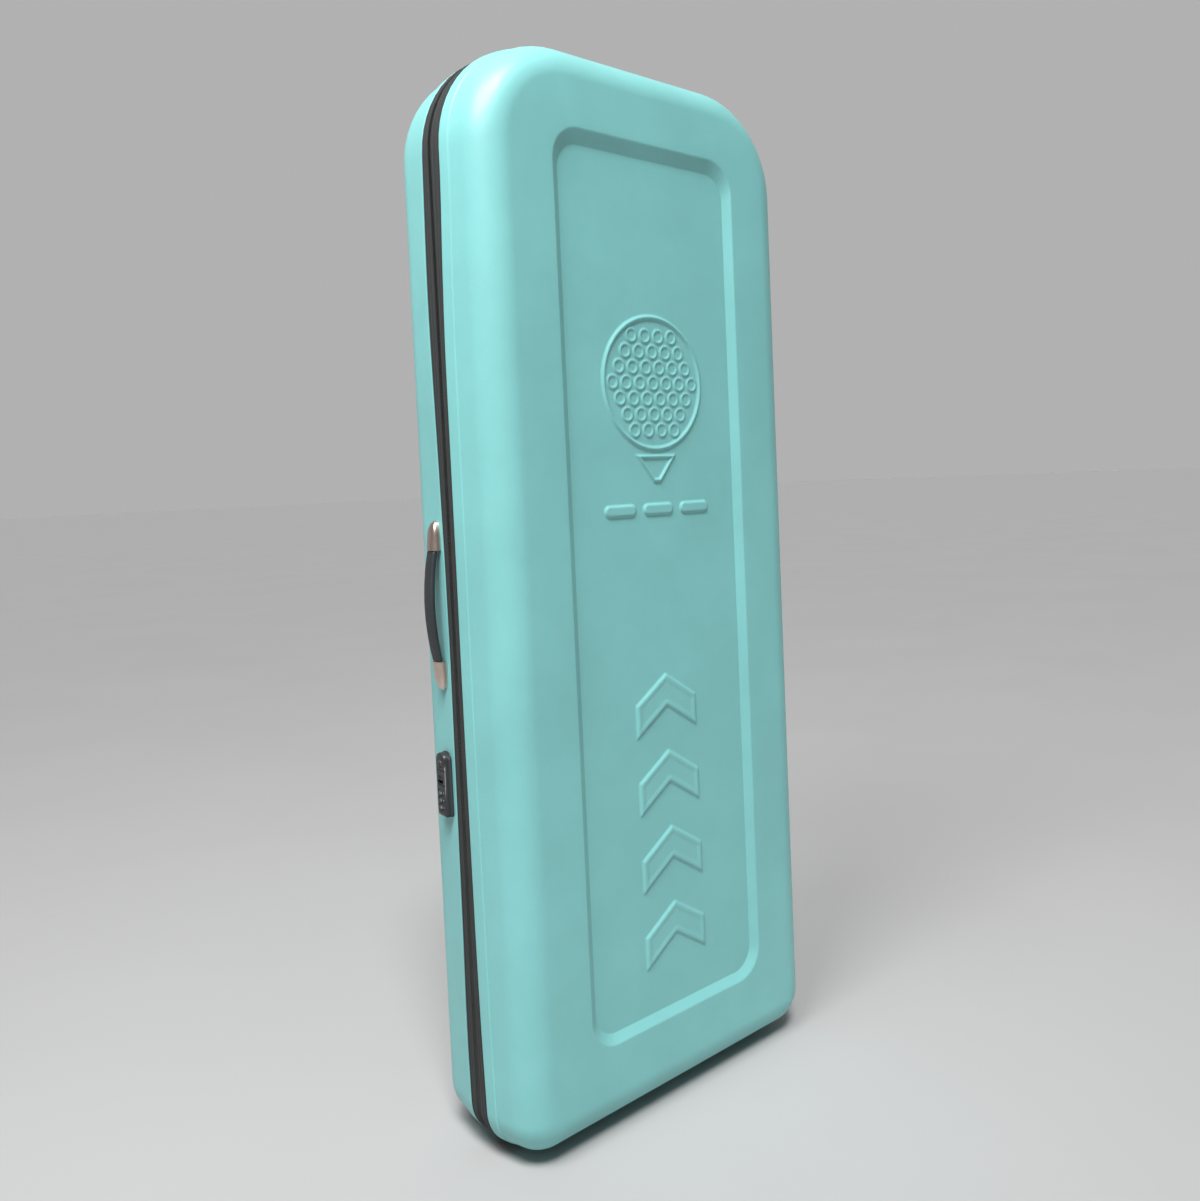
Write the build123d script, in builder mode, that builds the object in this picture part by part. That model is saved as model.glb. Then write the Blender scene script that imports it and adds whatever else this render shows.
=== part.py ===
from build123d import *
import os
from math import atan2, cos, radians, sin, tan

os.makedirs("parts", exist_ok=True)

# A hard two-shell golf travel case, standing upright on its wheels and feet. Millimetres.
# X is the width, Y the depth (the lid faces -Y), Z is up. The origin is on the floor,
# below the centre of the zip plane, which is the plane Y = 0.

# Driving dimensions of the case
case_width = 500.0
case_height = 1280.0
lift = 7.0                      # floor to the lowest line of the shells
top_corner = 131.0
bottom_corner = 54.0
band = 12.4                     # half the width of the zip band between the shells
front_depth = 90.3
rear_depth = 92.5
front_draft = 6.87              # degrees
rear_draft = 5.95
face_round = 42.0               # round between a shell's face and its sides
wall = 3.0

# The sunk panel in each shell's face
panel_half_width = 146.0
panel_bottom = 104.5 + lift
panel_top = 1178.4 + lift
panel_corner = 40.0
panel_depth = 7.3
panel_run = 11.0                # how far the panel's sides and bottom slope in
panel_top_run = 17.0            # and its top
panel_floor_corner = 31.0

# Raised figures on the lid's panel
relief_height = 2.4
ball_radius = 84.0
ball_line = 7.0                 # width of the raised line round the ball
ball_z = 899.0
tee_top = 812.0
tee_bottom = 778.0
tee_half_width = 34.0
tee_foot_half_width = 6.0
bar_x = (-62.0, 0.0, 62.0)
bar_z = 745.0
bar_length = 52.0
bar_height = 16.0
chevron_count = 4
chevron_pitch = 96.0
chevron_first_z = 176.0
chevron_half_width = 52.0
chevron_rise = 34.0
chevron_thick = 44.0

# Zip band
tape_sunk = 0.9                 # tape face below the shells' outline
tape_thick = 1.4
tape_edge = band - 0.3          # the tape's face ends this far from the zip plane
flange_outer = 4.3              # sewn flange, measured in from the case's outline
flange_inner = 5.5
flange_reach = 5.0              # how far the flange goes in behind the shell's edge
coil_gap = 0.45                 # half the gap between the two coils
coil_width = 2.45
coil_outer = 0.3
coil_inner = 3.1
zip_end_x = 205.0               # the coils stop here, before the hinge side

# Zip sliders and pulls
slider_x = 9.0
slider_length = 15.0
slider_half = 5.5
slider_plate = 1.5
slider_web = 0.5
slider_rise = 1.2               # top plate above the tape's face
slider_under = 3.5              # bottom plate below the case's outline
cheek_spread = 3.2
cheek_height = 2.8
pin_radius = 0.7
pull_length = 34.0
pull_thick = 1.6
pull_width = 9.0
pull_eye_radius = 1.45
pull_eye_width = 4.4

# Lining and hinge
lining_gap = 8.2
lining_thick = 1.5
lining_mouth = 14.0
lining_far = {"front": 73.0, "rear": 75.0}
lining_round = 26.0
gusset_outer = 6.1              # measured in from the case's outline
gusset_thick = 1.5
gusset_reach = 20.0
gusset_split = 0.3
gusset_bottom = 160.0
gusset_top = 1120.0

# Handles
handle_depth = 28.0
side_handle_z = 646.0
tow_depth = 46.0
grip_half = 64.0
grip_end_height = 6.2
grip_mid_height = 12.9
grip_thick = 7.6
grip_width = 19.5
core_thick = 1.4
core_width = 12.0
core_half = 84.0
core_slot_top = 9.7
cap_gap = 0.4
cap_reach = 99.0
cap_nose = 16.0                 # length of a cap's low end
cap_nose_height = 7.0
cap_tip_height = 2.0
cap_tip_half_width = 4.5
cap_width = 21.0
cap_height = 11.0
handle_travel = 2.5
screw_radius = 1.6
screw_head_radius = 3.0
screw_head = 1.3
screw_play = 0.02
plate_length = 196.0
plate_width = 20.0
plate_thick = 1.5
plate_seat = wall + 1.8         # a backplate's inner face, in from the shell's outside

# Combination lock
lock_z = 436.5
lock_depth = 31.0
lock_length = 75.0
lock_width = 23.0
lock_height = 10.0
dial_radius = 6.2
dial_width = 5.5
dial_pitch = 8.5
dial_first = -26.0
dial_axis_height = 5.2
lock_shaft_radius = 1.5
lock_shaft_start = -32.0
lock_shaft_length = 28.0
lock_cut_length = 62.0
lock_cut_width = 16.0
lock_cut_ease = 0.4
lock_sunk = 3.6                 # how far the housing goes in through the shell
lock_screw_radius = 1.2
lock_screw_head = 2.3
lock_plate_seat = 5.2
release_high = 14.6
release_length = 8.6
release_travel = 4.0
release_low = release_high - release_length - release_travel - 0.4
release_width = 12.4
release_floor = 4.5
release_rise = 6.4
cylinder_at = 25.5
cylinder_radius = 4.2
key_slot_length = 5.2
key_slot_width = 1.1
key_slot_depth = 3.0

# Wheels
wheel_x = 170.0
wheel_y = 64.0
wheel_radius = 25.0
wheel_width = 20.0
hub_radius = 17.0
axle_radius = 4.0
bearing_radius = 11.0
bearing_width = 7.0
running_gap = 0.05
housing_width = 38.0
housing_front = 34.0
housing_top = 56.0
well_width = 28.0

# Feet
foot_x = 165.0
foot_y = -27.0
foot_length = 46.0
foot_width = 20.0
foot_height = 14.0
foot_screw_tip = 3.0
foot_screw_seat = 12.4
foot_screw_head = 1.5

# Inside the rear half
foam_mouth = 22.0
foam_far = 73.1
foam_round = 24.0
butt_mouth = 30.0
butt_top = 112.0
head_bottom = 1150.0
cradle_mouth = 40.0
cradle_half = 45.0
trough_radius = 174.0
trough_y = -110.0
strap_z = (420.0, 860.0)
strap_width = 38.0
strap_y = 20.0
strap_thick = 2.0
strap_reach = 236.0
strap_end_y = 38.0
strap_lean = 0.9
buckle_half = 34.0
clip_size = (34.0, 9.0, 46.0)
socket_size = (33.0, 7.0, 44.0)
pocket_y = -24.0
pocket_thick = 1.6
pocket_top = 600.0
pocket_half_width = 232.0
binding_height = 14.0

panel_over = 2.0                # the panel's cutting block starts this far over the face
panel_grow = tan(atan2(panel_depth, panel_run) / 2)
case_top = lift + case_height
case_middle = lift + case_height / 2
half_width = case_width / 2
front = Plane.XZ
rear = Plane(origin=(0, 0, 0), x_dir=(-1, 0, 0), z_dir=(0, 1, 0))
drafts = {"front": front_draft, "rear": rear_draft}
planes = {"front": front, "rear": rear}
nodes = []


def finish(part, label):
    """Label a finished piece and write its STEP file."""
    part.label = label
    export_step(part, f"parts/{label}.step")
    nodes.append(label)


def case_outline(inset):
    """The case's outline, drawn this far inside its widest line."""
    with BuildSketch() as outline:
        with Locations((0, case_middle)):
            Rectangle(case_width - 2 * inset, case_height - 2 * inset)
        fillet(outline.vertices().group_by(Axis.Y)[0], bottom_corner - inset)
        fillet(outline.vertices().group_by(Axis.Y)[-1], top_corner - inset)
    return outline.sketch


def panel_outline(sunk, grow):
    """The sunk panel's outline at this share of its depth, grown by this much."""
    width = 2 * (panel_half_width + grow - sunk * panel_run)
    low = panel_bottom - grow + sunk * panel_run
    high = panel_top + grow - sunk * panel_top_run
    corner = panel_corner + grow - sunk * (panel_corner - panel_floor_corner)
    with BuildSketch() as outline:
        with Locations((0, (low + high) / 2)):
            RectangleRounded(width, high - low, corner)
    return outline.sketch


def draft_run(half, depth):
    """How far a shell's side has come in at this depth."""
    return (depth - band) * tan(radians(drafts[half]))


def tray(half, inset, near, far, rounding):
    """A drafted, round-edged block that fills one half from depth near to depth far."""
    outlines = {depth: case_outline(inset + draft_run(half, depth)) for depth in (near, far)}
    with BuildPart() as block:
        for depth, outline in outlines.items():
            with BuildSketch(planes[half].offset(depth)):
                add(outline)
        loft(ruled=True)
        face = block.faces().filter_by(Axis.Y).sort_by(Axis.Y)[0 if half == "front" else -1]
        fillet(face.edges(), rounding)
    return block.part


def panel_block(half, depth, thick):
    """The space taken by the sunk panel, with a wall of this thickness round it."""
    grow = thick * panel_grow
    mouth = panel_outline(-panel_over / panel_depth, grow)
    floor = panel_outline(1, grow)
    with BuildPart() as block:
        with BuildSketch(planes[half].offset(depth - thick + panel_over)):
            add(mouth)
        with BuildSketch(planes[half].offset(depth - thick - panel_depth)):
            add(floor)
        loft(ruled=True)
    return block.part


def ring(half, outer, inner, near, far):
    """A band that follows the case's outline between two insets and two depths."""
    outside = case_outline(outer)
    inside = case_outline(inner)
    with BuildPart() as band_ring:
        with BuildSketch(planes[half].offset(near)):
            add(outside)
            add(inside, mode=Mode.SUBTRACT)
        extrude(amount=far - near)
    return band_ring.part


def block(low, high):
    """A plain box between two corners."""
    size = [b - a for a, b in zip(low, high)]
    middle = [(a + b) / 2 for a, b in zip(low, high)]
    return Pos(*middle) * Box(*size, mode=Mode.PRIVATE)


def drilled(plane, spots, radius, low, high):
    """Round bars on a plane, one at each spot, between two heights."""
    with BuildPart() as bars:
        with BuildSketch(plane.offset(low)):
            with Locations(*spots):
                Circle(radius)
        extrude(amount=high - low)
    return bars.part


# Planes on the rear shell's left side and on its top, both on the outer surface.
# Local x runs along the handle, local y towards the rear, local z out of the wall.
lean = radians(rear_draft)
out_left = (-cos(lean), sin(lean), 0)
out_top = (0, sin(lean), cos(lean))
handle_wall = Plane(
    origin=(-half_width + draft_run("rear", handle_depth), handle_depth, side_handle_z),
    x_dir=(0, 0, 1),
    z_dir=out_left,
)
tow_wall = Plane(
    origin=(0, tow_depth, case_top - draft_run("rear", tow_depth)),
    x_dir=(1, 0, 0),
    z_dir=out_top,
)
lock_wall = Plane(
    origin=(-half_width + draft_run("rear", lock_depth), lock_depth, lock_z),
    x_dir=(0, 0, 1),
    z_dir=out_left,
)

wall_screws = [(-88, -5), (-88, 5), (88, -5), (88, 5)]
lock_screw_spots = [(-34, -7), (-34, 7), (34, -6), (34, 6)]


# Shells
front_outer = tray("front", 0, band, front_depth, face_round)
rear_outer = tray("rear", 0, band, rear_depth, face_round)


def shell_skin(half, outer, depth):
    """One shell: the outer block, hollowed, with its panel sunk into the face."""
    hollow = tray(half, wall, band - 1, depth - wall, face_round - wall)
    sunk = panel_block(half, depth, 0)
    sunk_back = panel_block(half, depth, wall)
    with BuildPart() as cavity:
        add(hollow)
        add(sunk_back, mode=Mode.SUBTRACT)
    with BuildPart() as skin:
        add(outer)
        add(sunk, mode=Mode.SUBTRACT)
        add(cavity.part, mode=Mode.SUBTRACT)
    return skin.part


front_skin = shell_skin("front", front_outer, front_depth)
rear_skin = shell_skin("rear", rear_outer, rear_depth)

floor_plane = front.offset(front_depth - panel_depth)
foot_screw_spots = [(side * foot_x, foot_y) for side in (-1, 1)]
foot_screw_holes = drilled(Plane.XY, foot_screw_spots, screw_radius, foot_screw_tip, 30)

with BuildPart() as front_shell:
    add(front_skin)
    # a golf ball's outline on a tee
    with BuildSketch(floor_plane):
        with Locations((0, ball_z)):
            Circle(ball_radius)
            Circle(ball_radius - ball_line, mode=Mode.SUBTRACT)
        with BuildLine():
            Polyline(
                (-tee_half_width, tee_top),
                (tee_half_width, tee_top),
                (tee_foot_half_width, tee_bottom),
                (-tee_foot_half_width, tee_bottom),
                close=True,
            )
        make_face()
    extrude(amount=relief_height)
    # three bars and four chevrons
    with BuildSketch(floor_plane):
        with Locations(*[(x, bar_z) for x in bar_x]):
            SlotOverall(bar_length, bar_height)
        for step in range(chevron_count):
            low = chevron_first_z + step * chevron_pitch
            with BuildLine():
                Polyline(
                    (-chevron_half_width, low),
                    (0, low + chevron_rise),
                    (chevron_half_width, low),
                    (chevron_half_width, low + chevron_thick),
                    (0, low + chevron_rise + chevron_thick),
                    (-chevron_half_width, low + chevron_thick),
                    close=True,
                )
            make_face()
    extrude(amount=relief_height)
    add(foot_screw_holes, mode=Mode.SUBTRACT)
finish(front_shell.part, "front_shell")


def wheel_box(side, ease):
    """The space that one wheel housing takes, with this much ease round it."""
    middle = side * wheel_x
    half = housing_width / 2 + ease
    return block(
        (middle - half, housing_front - ease, 0),
        (middle + half, rear_depth + 5, housing_top + ease),
    )


handle_holes = [drilled(plane, wall_screws, screw_radius, -8, 4) for plane in (handle_wall, tow_wall)]
lock_holes = drilled(lock_wall, lock_screw_spots, lock_screw_radius, -8, 4)

with BuildPart() as rear_shell:
    add(rear_skin)
    for side in (-1, 1):
        add(wheel_box(side, 0.2), mode=Mode.SUBTRACT)
    for holes in (*handle_holes, lock_holes):
        add(holes, mode=Mode.SUBTRACT)
    with BuildSketch(lock_wall.offset(-8)):
        RectangleRounded(lock_cut_length + lock_cut_ease, lock_cut_width + lock_cut_ease, 3)
    extrude(amount=12, mode=Mode.SUBTRACT)
finish(rear_shell.part, "rear_shell")


# Zip tape and coils, one half sewn to each shell
def zip_tape(half):
    """One half of the tape: its face, the step at the shell's edge and the sewn flange."""
    face = ring(half, tape_sunk, tape_sunk + tape_thick, coil_gap + coil_width, tape_edge)
    step = ring(half, tape_sunk, flange_inner, tape_edge - tape_thick, tape_edge)
    flange = ring(half, flange_outer, flange_inner, tape_edge - tape_thick, band + flange_reach)
    with BuildPart() as tape:
        add(face)
        add(step)
        add(flange)
    return tape.part


def zip_coil(half):
    """One coil, from the hinge side's top corner round to its bottom corner."""
    whole = ring(half, coil_outer, coil_inner, coil_gap, coil_gap + coil_width)
    hinge_side = block((zip_end_x, -band, 0), (half_width + 10, band, case_top + 10))
    with BuildPart() as coil:
        add(whole)
        add(hinge_side, mode=Mode.SUBTRACT)
    return coil.part


for half in ("front", "rear"):
    finish(zip_tape(half), f"zip_tape_{half}")
    finish(zip_coil(half), f"zip_coil_{half}")

# Zip sliders, parked nose to nose at the middle of the top edge
slider_top = case_top - tape_sunk + slider_rise + slider_plate
pull_z = slider_top + slider_plate


def zip_slider(side):
    """Plates over and under the coils, a web between them and the eye for the pull."""
    middle = side * slider_x
    with BuildPart() as body:
        with Locations(
            (middle, 0, slider_top - slider_plate / 2),
            (middle, 0, case_top - slider_under - slider_plate / 2),
        ):
            Box(slider_length, 2 * slider_half, slider_plate)
        fillet(body.edges().filter_by(Axis.Z), 2)
        with Locations((middle, 0, case_top - 1.5)):
            Box(slider_length / 2, slider_web, 6)
        # two cheeks that hold the pull's pin
        cheek_z = slider_top + cheek_height / 2
        with Locations((middle, -cheek_spread, cheek_z), (middle, cheek_spread, cheek_z)):
            Box(5, 1.2, cheek_height)
        with Locations((middle, 0, pull_z)):
            Cylinder(pin_radius, 2 * cheek_spread, rotation=(90, 0, 0))
    return body.part


def zip_pull(side):
    """A flat tab with an eye round the slider's pin, lying along the tape."""
    middle = side * slider_x
    with BuildPart() as pull:
        with BuildSketch(Plane.XZ.offset(-pull_eye_width / 2)):
            with Locations((middle, pull_z)):
                Circle(pull_eye_radius)
            with Locations((middle + side * (pull_length / 2 + 1), pull_z)):
                Rectangle(pull_length, pull_thick)
            with Locations((middle, pull_z)):
                Circle(pin_radius + 0.08, mode=Mode.SUBTRACT)
        extrude(amount=pull_eye_width)
        with BuildSketch(Plane.XY.offset(pull_z - pull_thick / 2)):
            with Locations((middle + side * (pull_length / 2 + 6), 0)):
                SlotOverall(pull_length - 6, pull_width)
        extrude(amount=pull_thick)
    return pull.part


for side, name in ((-1, "left"), (1, "right")):
    finish(zip_slider(side), f"slider_{name}")
    finish(zip_pull(side), f"pull_{name}")

# The fabric hinge on the right-hand side, one half in each shell
for half, sign in (("front", -1), ("rear", 1)):
    ends = sorted((sign * gusset_split, sign * gusset_reach))
    strip = block(
        (half_width - gusset_outer - gusset_thick, ends[0], gusset_bottom),
        (half_width - gusset_outer, ends[1], gusset_top),
    )
    finish(strip, f"hinge_gusset_{half}")

# Linings
for half in ("front", "rear"):
    far = lining_far[half]
    inner_far = far - lining_thick
    outer = tray(half, lining_gap, lining_mouth, far, lining_round)
    inner = tray(
        half, lining_gap + lining_thick, lining_mouth - 1, inner_far, lining_round - lining_thick
    )
    with BuildPart() as lining:
        add(outer)
        add(inner, mode=Mode.SUBTRACT)
        if half == "rear":
            for side in (-1, 1):
                add(wheel_box(side, 0.6), mode=Mode.SUBTRACT)
    finish(lining.part, f"{half}_lining")

# Foam blocks, shaped by the lining that they sit in
foam_fill = tray("rear", lining_gap + lining_thick + 0.4, foam_mouth, foam_far, foam_round)


def foam(low_z, high_z, mouth):
    """A foam block that fills the lining from wall to wall."""
    span = block((-half_width, mouth, low_z), (half_width, rear_depth, high_z))
    with BuildPart() as pad:
        add(foam_fill)
        add(span, mode=Mode.INTERSECT)
    return pad.part


def cradle(z):
    """A foam block with a round trough for the bag."""
    whole = foam(z - cradle_half, z + cradle_half, cradle_mouth)
    with BuildPart() as pad:
        add(whole)
        with Locations((0, trough_y, z)):
            Cylinder(trough_radius, 3 * cradle_half, mode=Mode.SUBTRACT)
    return pad.part


butt_block = foam(0, butt_top, butt_mouth)
with BuildPart() as butt_foam:
    add(butt_block)
    for side in (-1, 1):
        add(wheel_box(side, 1.2), mode=Mode.SUBTRACT)
finish(butt_foam.part, "butt_foam")
finish(foam(head_bottom, case_top, foam_mouth), "head_foam")
for z, name in zip(strap_z, ("lower", "upper")):
    finish(cradle(z), f"cradle_{name}")


# Straps over the cradles, each with a side-release buckle

def strap(z):
    """Two lengths of webbing, from the lining's walls to the buckle."""
    with BuildPart() as webbing:
        for side in (-1, 1):
            inner = side * buckle_half
            outer = side * strap_reach
            with BuildSketch(Plane.XY.offset(z - strap_width / 2)):
                with BuildLine():
                    Polyline(
                        (inner, strap_y),
                        (outer, strap_y),
                        (outer - side * strap_lean, strap_end_y),
                        (outer - side * (strap_lean + strap_thick), strap_end_y),
                        (outer - side * strap_thick, strap_y + strap_thick),
                        (inner, strap_y + strap_thick),
                        close=True,
                    )
                make_face()
            extrude(amount=strap_width)
    return webbing.part


def buckle(z):
    """The clip and the socket of a side-release buckle."""
    with BuildPart() as halves:
        with Locations((-16.6, strap_y + strap_thick / 2, z)):
            Box(*clip_size)
        with Locations((17.2, strap_y + strap_thick / 2, z)):
            Box(*socket_size)
        fillet(halves.edges().filter_by(Axis.Y), 4)
    return halves.part


for z, name in zip(strap_z, ("lower", "upper")):
    finish(strap(z), f"strap_{name}")
    finish(buckle(z), f"buckle_{name}")

# Pocket in the lid: a flat panel with a bound top edge
pocket_outline = case_outline(half_width - pocket_half_width)
with BuildPart() as pocket_panel:
    with BuildSketch(front.offset(-pocket_y)):
        add(pocket_outline)
        with Locations((0, (pocket_top + case_top) / 2)):
            Rectangle(case_width, case_top - pocket_top, mode=Mode.SUBTRACT)
    extrude(amount=pocket_thick)
finish(pocket_panel.part, "lid_pocket")
binding = block(
    (-pocket_half_width, pocket_y - 2.6, pocket_top + 0.1),
    (pocket_half_width, pocket_y + 1.0, pocket_top + binding_height),
)
finish(binding, "lid_pocket_binding")


# Handles: the same one on the side and at the top
def along(plane):
    """The plane that shows a handle in profile: its length and its height."""
    return Plane(origin=plane.origin, x_dir=plane.x_dir, z_dir=plane.y_dir * -1)


sagitta = grip_mid_height - grip_end_height
bow_radius = (grip_half**2 + sagitta**2) / (2 * sagitta)


def bow_height(reach):
    """Height of the handle's bowed centre line this far from its middle."""
    return grip_mid_height - bow_radius + (bow_radius**2 - reach**2) ** 0.5


def bowed_bar(plane, reach, thick, width):
    """A bar that follows the handle's bow."""
    end = bow_height(reach)
    up = thick / 2
    with BuildPart() as bar:
        with BuildSketch(along(plane)):
            with BuildLine():
                over = ThreePointArc((-reach, end + up), (0, grip_mid_height + up), (reach, end + up))
                under = ThreePointArc((-reach, end - up), (0, grip_mid_height - up), (reach, end - up))
                Line(over @ 0, under @ 0)
                Line(over @ 1, under @ 1)
            make_face()
        extrude(amount=width / 2, both=True)
    return bar.part


def handle_cap(plane, end):
    """One metal cap: a tapered, hollow end in which the steel core slides."""
    near = end * (grip_half + cap_gap)
    far = end * cap_reach
    nose = end * (cap_reach - cap_nose)
    slot_end = end * (core_half + 1)
    holes = drilled(plane, wall_screws, screw_radius, -2, 3)
    with BuildPart() as cap:
        with BuildSketch(along(plane)):
            with BuildLine():
                Polyline(
                    (near, -1),
                    (near, cap_height),
                    (nose, cap_nose_height),
                    (far, cap_tip_height),
                    (far, -1),
                    close=True,
                )
            make_face()
        extrude(amount=cap_width / 2, both=True)
        with BuildSketch(plane.offset(-2)):
            with BuildLine():
                Polyline(
                    (near - end, cap_width / 2),
                    (nose, cap_width / 2),
                    (far, cap_tip_half_width),
                    (far, -cap_tip_half_width),
                    (nose, -cap_width / 2),
                    (near - end, -cap_width / 2),
                    close=True,
                )
            make_face()
        extrude(amount=20, mode=Mode.INTERSECT)
        fillet(cap.faces().sort_by(Axis(plane.origin, plane.z_dir))[-1].edges(), 1)
        # the slot for the core, open towards the grip
        with BuildSketch(along(plane)):
            with BuildLine():
                Polyline(
                    (near - end, 0.2),
                    (near - end, core_slot_top),
                    (near + end, core_slot_top),
                    (slot_end, bow_height(core_half) + handle_travel + 1.5),
                    (slot_end, 0.2),
                    close=True,
                )
            make_face()
        extrude(amount=core_width / 2 + 0.5, both=True, mode=Mode.SUBTRACT)
        add(holes, mode=Mode.SUBTRACT)
    return cap.part


def screw_set(plane, spots, radius, head, seat, tip):
    """Pan-head screws put in from inside the case."""
    shanks = drilled(plane, spots, radius, seat, tip)
    heads = drilled(plane, spots, head, seat - screw_head, seat)
    with BuildPart() as screws:
        add(shanks)
        add(heads)
    return screws.part


def make_handle(plane, name, outer_block):
    """Every piece of one handle."""
    core = bowed_bar(plane, core_half, core_thick, core_width)
    bar = bowed_bar(plane, grip_half, grip_thick, grip_width)
    caps = {"a": handle_cap(plane, -1), "b": handle_cap(plane, 1)}
    with BuildPart() as grip:
        add(bar)
        long_edges = grip.edges().filter_by(GeomType.CIRCLE)
        fillet(long_edges, 2.4)
        add(core, mode=Mode.SUBTRACT)
    finish(grip.part, f"{name}_grip")
    finish(core, f"{name}_core")
    for which, whole in caps.items():
        with BuildPart() as cap:
            add(whole)
            add(outer_block, mode=Mode.SUBTRACT)
        finish(cap.part, f"{name}_cap_{which}")
    with BuildPart() as backplate:
        with BuildSketch(plane.offset(-plate_seat)):
            RectangleRounded(plate_length, plate_width, 4)
            with Locations(*wall_screws):
                Circle(screw_radius, mode=Mode.SUBTRACT)
        extrude(amount=plate_thick)
    finish(backplate.part, f"{name}_backplate")
    shank = screw_radius - screw_play
    screws = screw_set(plane, wall_screws, shank, screw_head_radius, -plate_seat, 2.5)
    finish(screws, f"{name}_screws")


make_handle(handle_wall, "side", rear_outer)
make_handle(tow_wall, "tow", rear_outer)

# Combination lock
dial_spots = [dial_first + step * dial_pitch for step in range(3)]
release_at = release_high - 0.2 - release_length / 2
shaft_plane = Plane(lock_wall.origin, lock_wall.y_dir, lock_wall.x_dir)
cylinder_spot = [(cylinder_at, 0)]
cylinder_bore = drilled(lock_wall, cylinder_spot, cylinder_radius + running_gap, -2.4, 20)
lock_body_holes = drilled(lock_wall, lock_screw_spots, lock_screw_radius, -5, 5)

with BuildPart() as lock_housing:
    with BuildSketch(lock_wall) as bezel:
        Rectangle(lock_length, lock_width)
        fillet(bezel.vertices().group_by(Axis.X)[0], 4)
        fillet(bezel.vertices().group_by(Axis.X)[-1], 9)
    extrude(amount=lock_height)
    fillet(lock_housing.faces().sort_by(Axis.X)[0].edges(), 2.2)
    with BuildSketch(lock_wall.offset(-lock_sunk)):
        RectangleRounded(lock_cut_length, lock_cut_width, 3)
    extrude(amount=lock_sunk + 0.4)
    with BuildSketch(lock_wall.offset(-1.6)):
        for spot in dial_spots:
            with Locations((spot, 0)):
                Rectangle(dial_width + 0.6, 2 * dial_radius + 1.2)
    extrude(amount=20, mode=Mode.SUBTRACT)
    with BuildSketch(lock_wall.offset(release_floor)):
        with Locations(((release_low + release_high) / 2, 0)):
            Rectangle(release_high - release_low, release_width + 0.6)
    extrude(amount=10, mode=Mode.SUBTRACT)
    add(cylinder_bore, mode=Mode.SUBTRACT)
    add(lock_body_holes, mode=Mode.SUBTRACT)
    with BuildSketch(shaft_plane.offset(lock_shaft_start)):
        with Locations((0, dial_axis_height)):
            Circle(lock_shaft_radius)
    extrude(amount=lock_shaft_length, mode=Mode.SUBTRACT)
finish(lock_housing.part, "lock_housing")

with BuildPart() as lock_shaft:
    with BuildSketch(shaft_plane.offset(lock_shaft_start)):
        with Locations((0, dial_axis_height)):
            Circle(lock_shaft_radius)
    extrude(amount=lock_shaft_length)
finish(lock_shaft.part, "lock_shaft")

for number, spot in enumerate(dial_spots, 1):
    with BuildPart() as dial:
        with BuildSketch(shaft_plane.offset(spot - dial_width / 2)):
            with Locations((0, dial_axis_height)):
                Circle(dial_radius)
                Circle(lock_shaft_radius + running_gap, mode=Mode.SUBTRACT)
        extrude(amount=dial_width)
        rims = dial.edges().filter_by(GeomType.CIRCLE).group_by(SortBy.RADIUS)[-1]
        chamfer(rims, 0.5)
    finish(dial.part, f"dial_{number}")

with BuildPart() as lock_release:
    with BuildSketch(lock_wall.offset(release_floor + 0.2)):
        with Locations((release_at, 0)):
            RectangleRounded(release_length, release_width, 1)
    extrude(amount=release_rise)
    # three finger ridges
    with BuildSketch(lock_wall.offset(release_floor + 0.2 + release_rise)):
        with Locations(*[(release_at + step, 0) for step in (-2, 0, 2)]):
            Rectangle(0.9, 9)
    extrude(amount=0.5)
finish(lock_release.part, "lock_release")

plug = drilled(lock_wall, cylinder_spot, cylinder_radius, -2.0, lock_height + 0.5)
with BuildPart() as lock_cylinder:
    add(plug)
    with BuildSketch(lock_wall.offset(lock_height - key_slot_depth)):
        with Locations((cylinder_at, 0)):
            Rectangle(key_slot_length, key_slot_width)
    extrude(amount=key_slot_depth + 1, mode=Mode.SUBTRACT)
finish(lock_cylinder.part, "lock_cylinder")

with BuildPart() as lock_backplate:
    with BuildSketch(lock_wall.offset(-lock_plate_seat)):
        RectangleRounded(lock_length - 1, lock_width - 1, 3)
        with Locations(*lock_screw_spots):
            Circle(lock_screw_radius, mode=Mode.SUBTRACT)
    extrude(amount=plate_thick)
finish(lock_backplate.part, "lock_backplate")
lock_shank = lock_screw_radius - screw_play
lock_screws = screw_set(
    lock_wall, lock_screw_spots, lock_shank, lock_screw_head, -lock_plate_seat, 4.5
)
finish(lock_screws, "lock_screws")

# Wheels: housing, axle, hub, tyre and bearings at each rear bottom corner
axle_z = wheel_radius


def wheel_ring(middle, outer, inner, width):
    """A ring round the wheel's axle."""
    with BuildPart() as turned:
        with BuildSketch(Plane.YZ.offset(middle - width / 2)):
            with Locations((wheel_y, axle_z)):
                Circle(outer)
                Circle(inner, mode=Mode.SUBTRACT)
        extrude(amount=width)
    return turned.part


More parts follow.
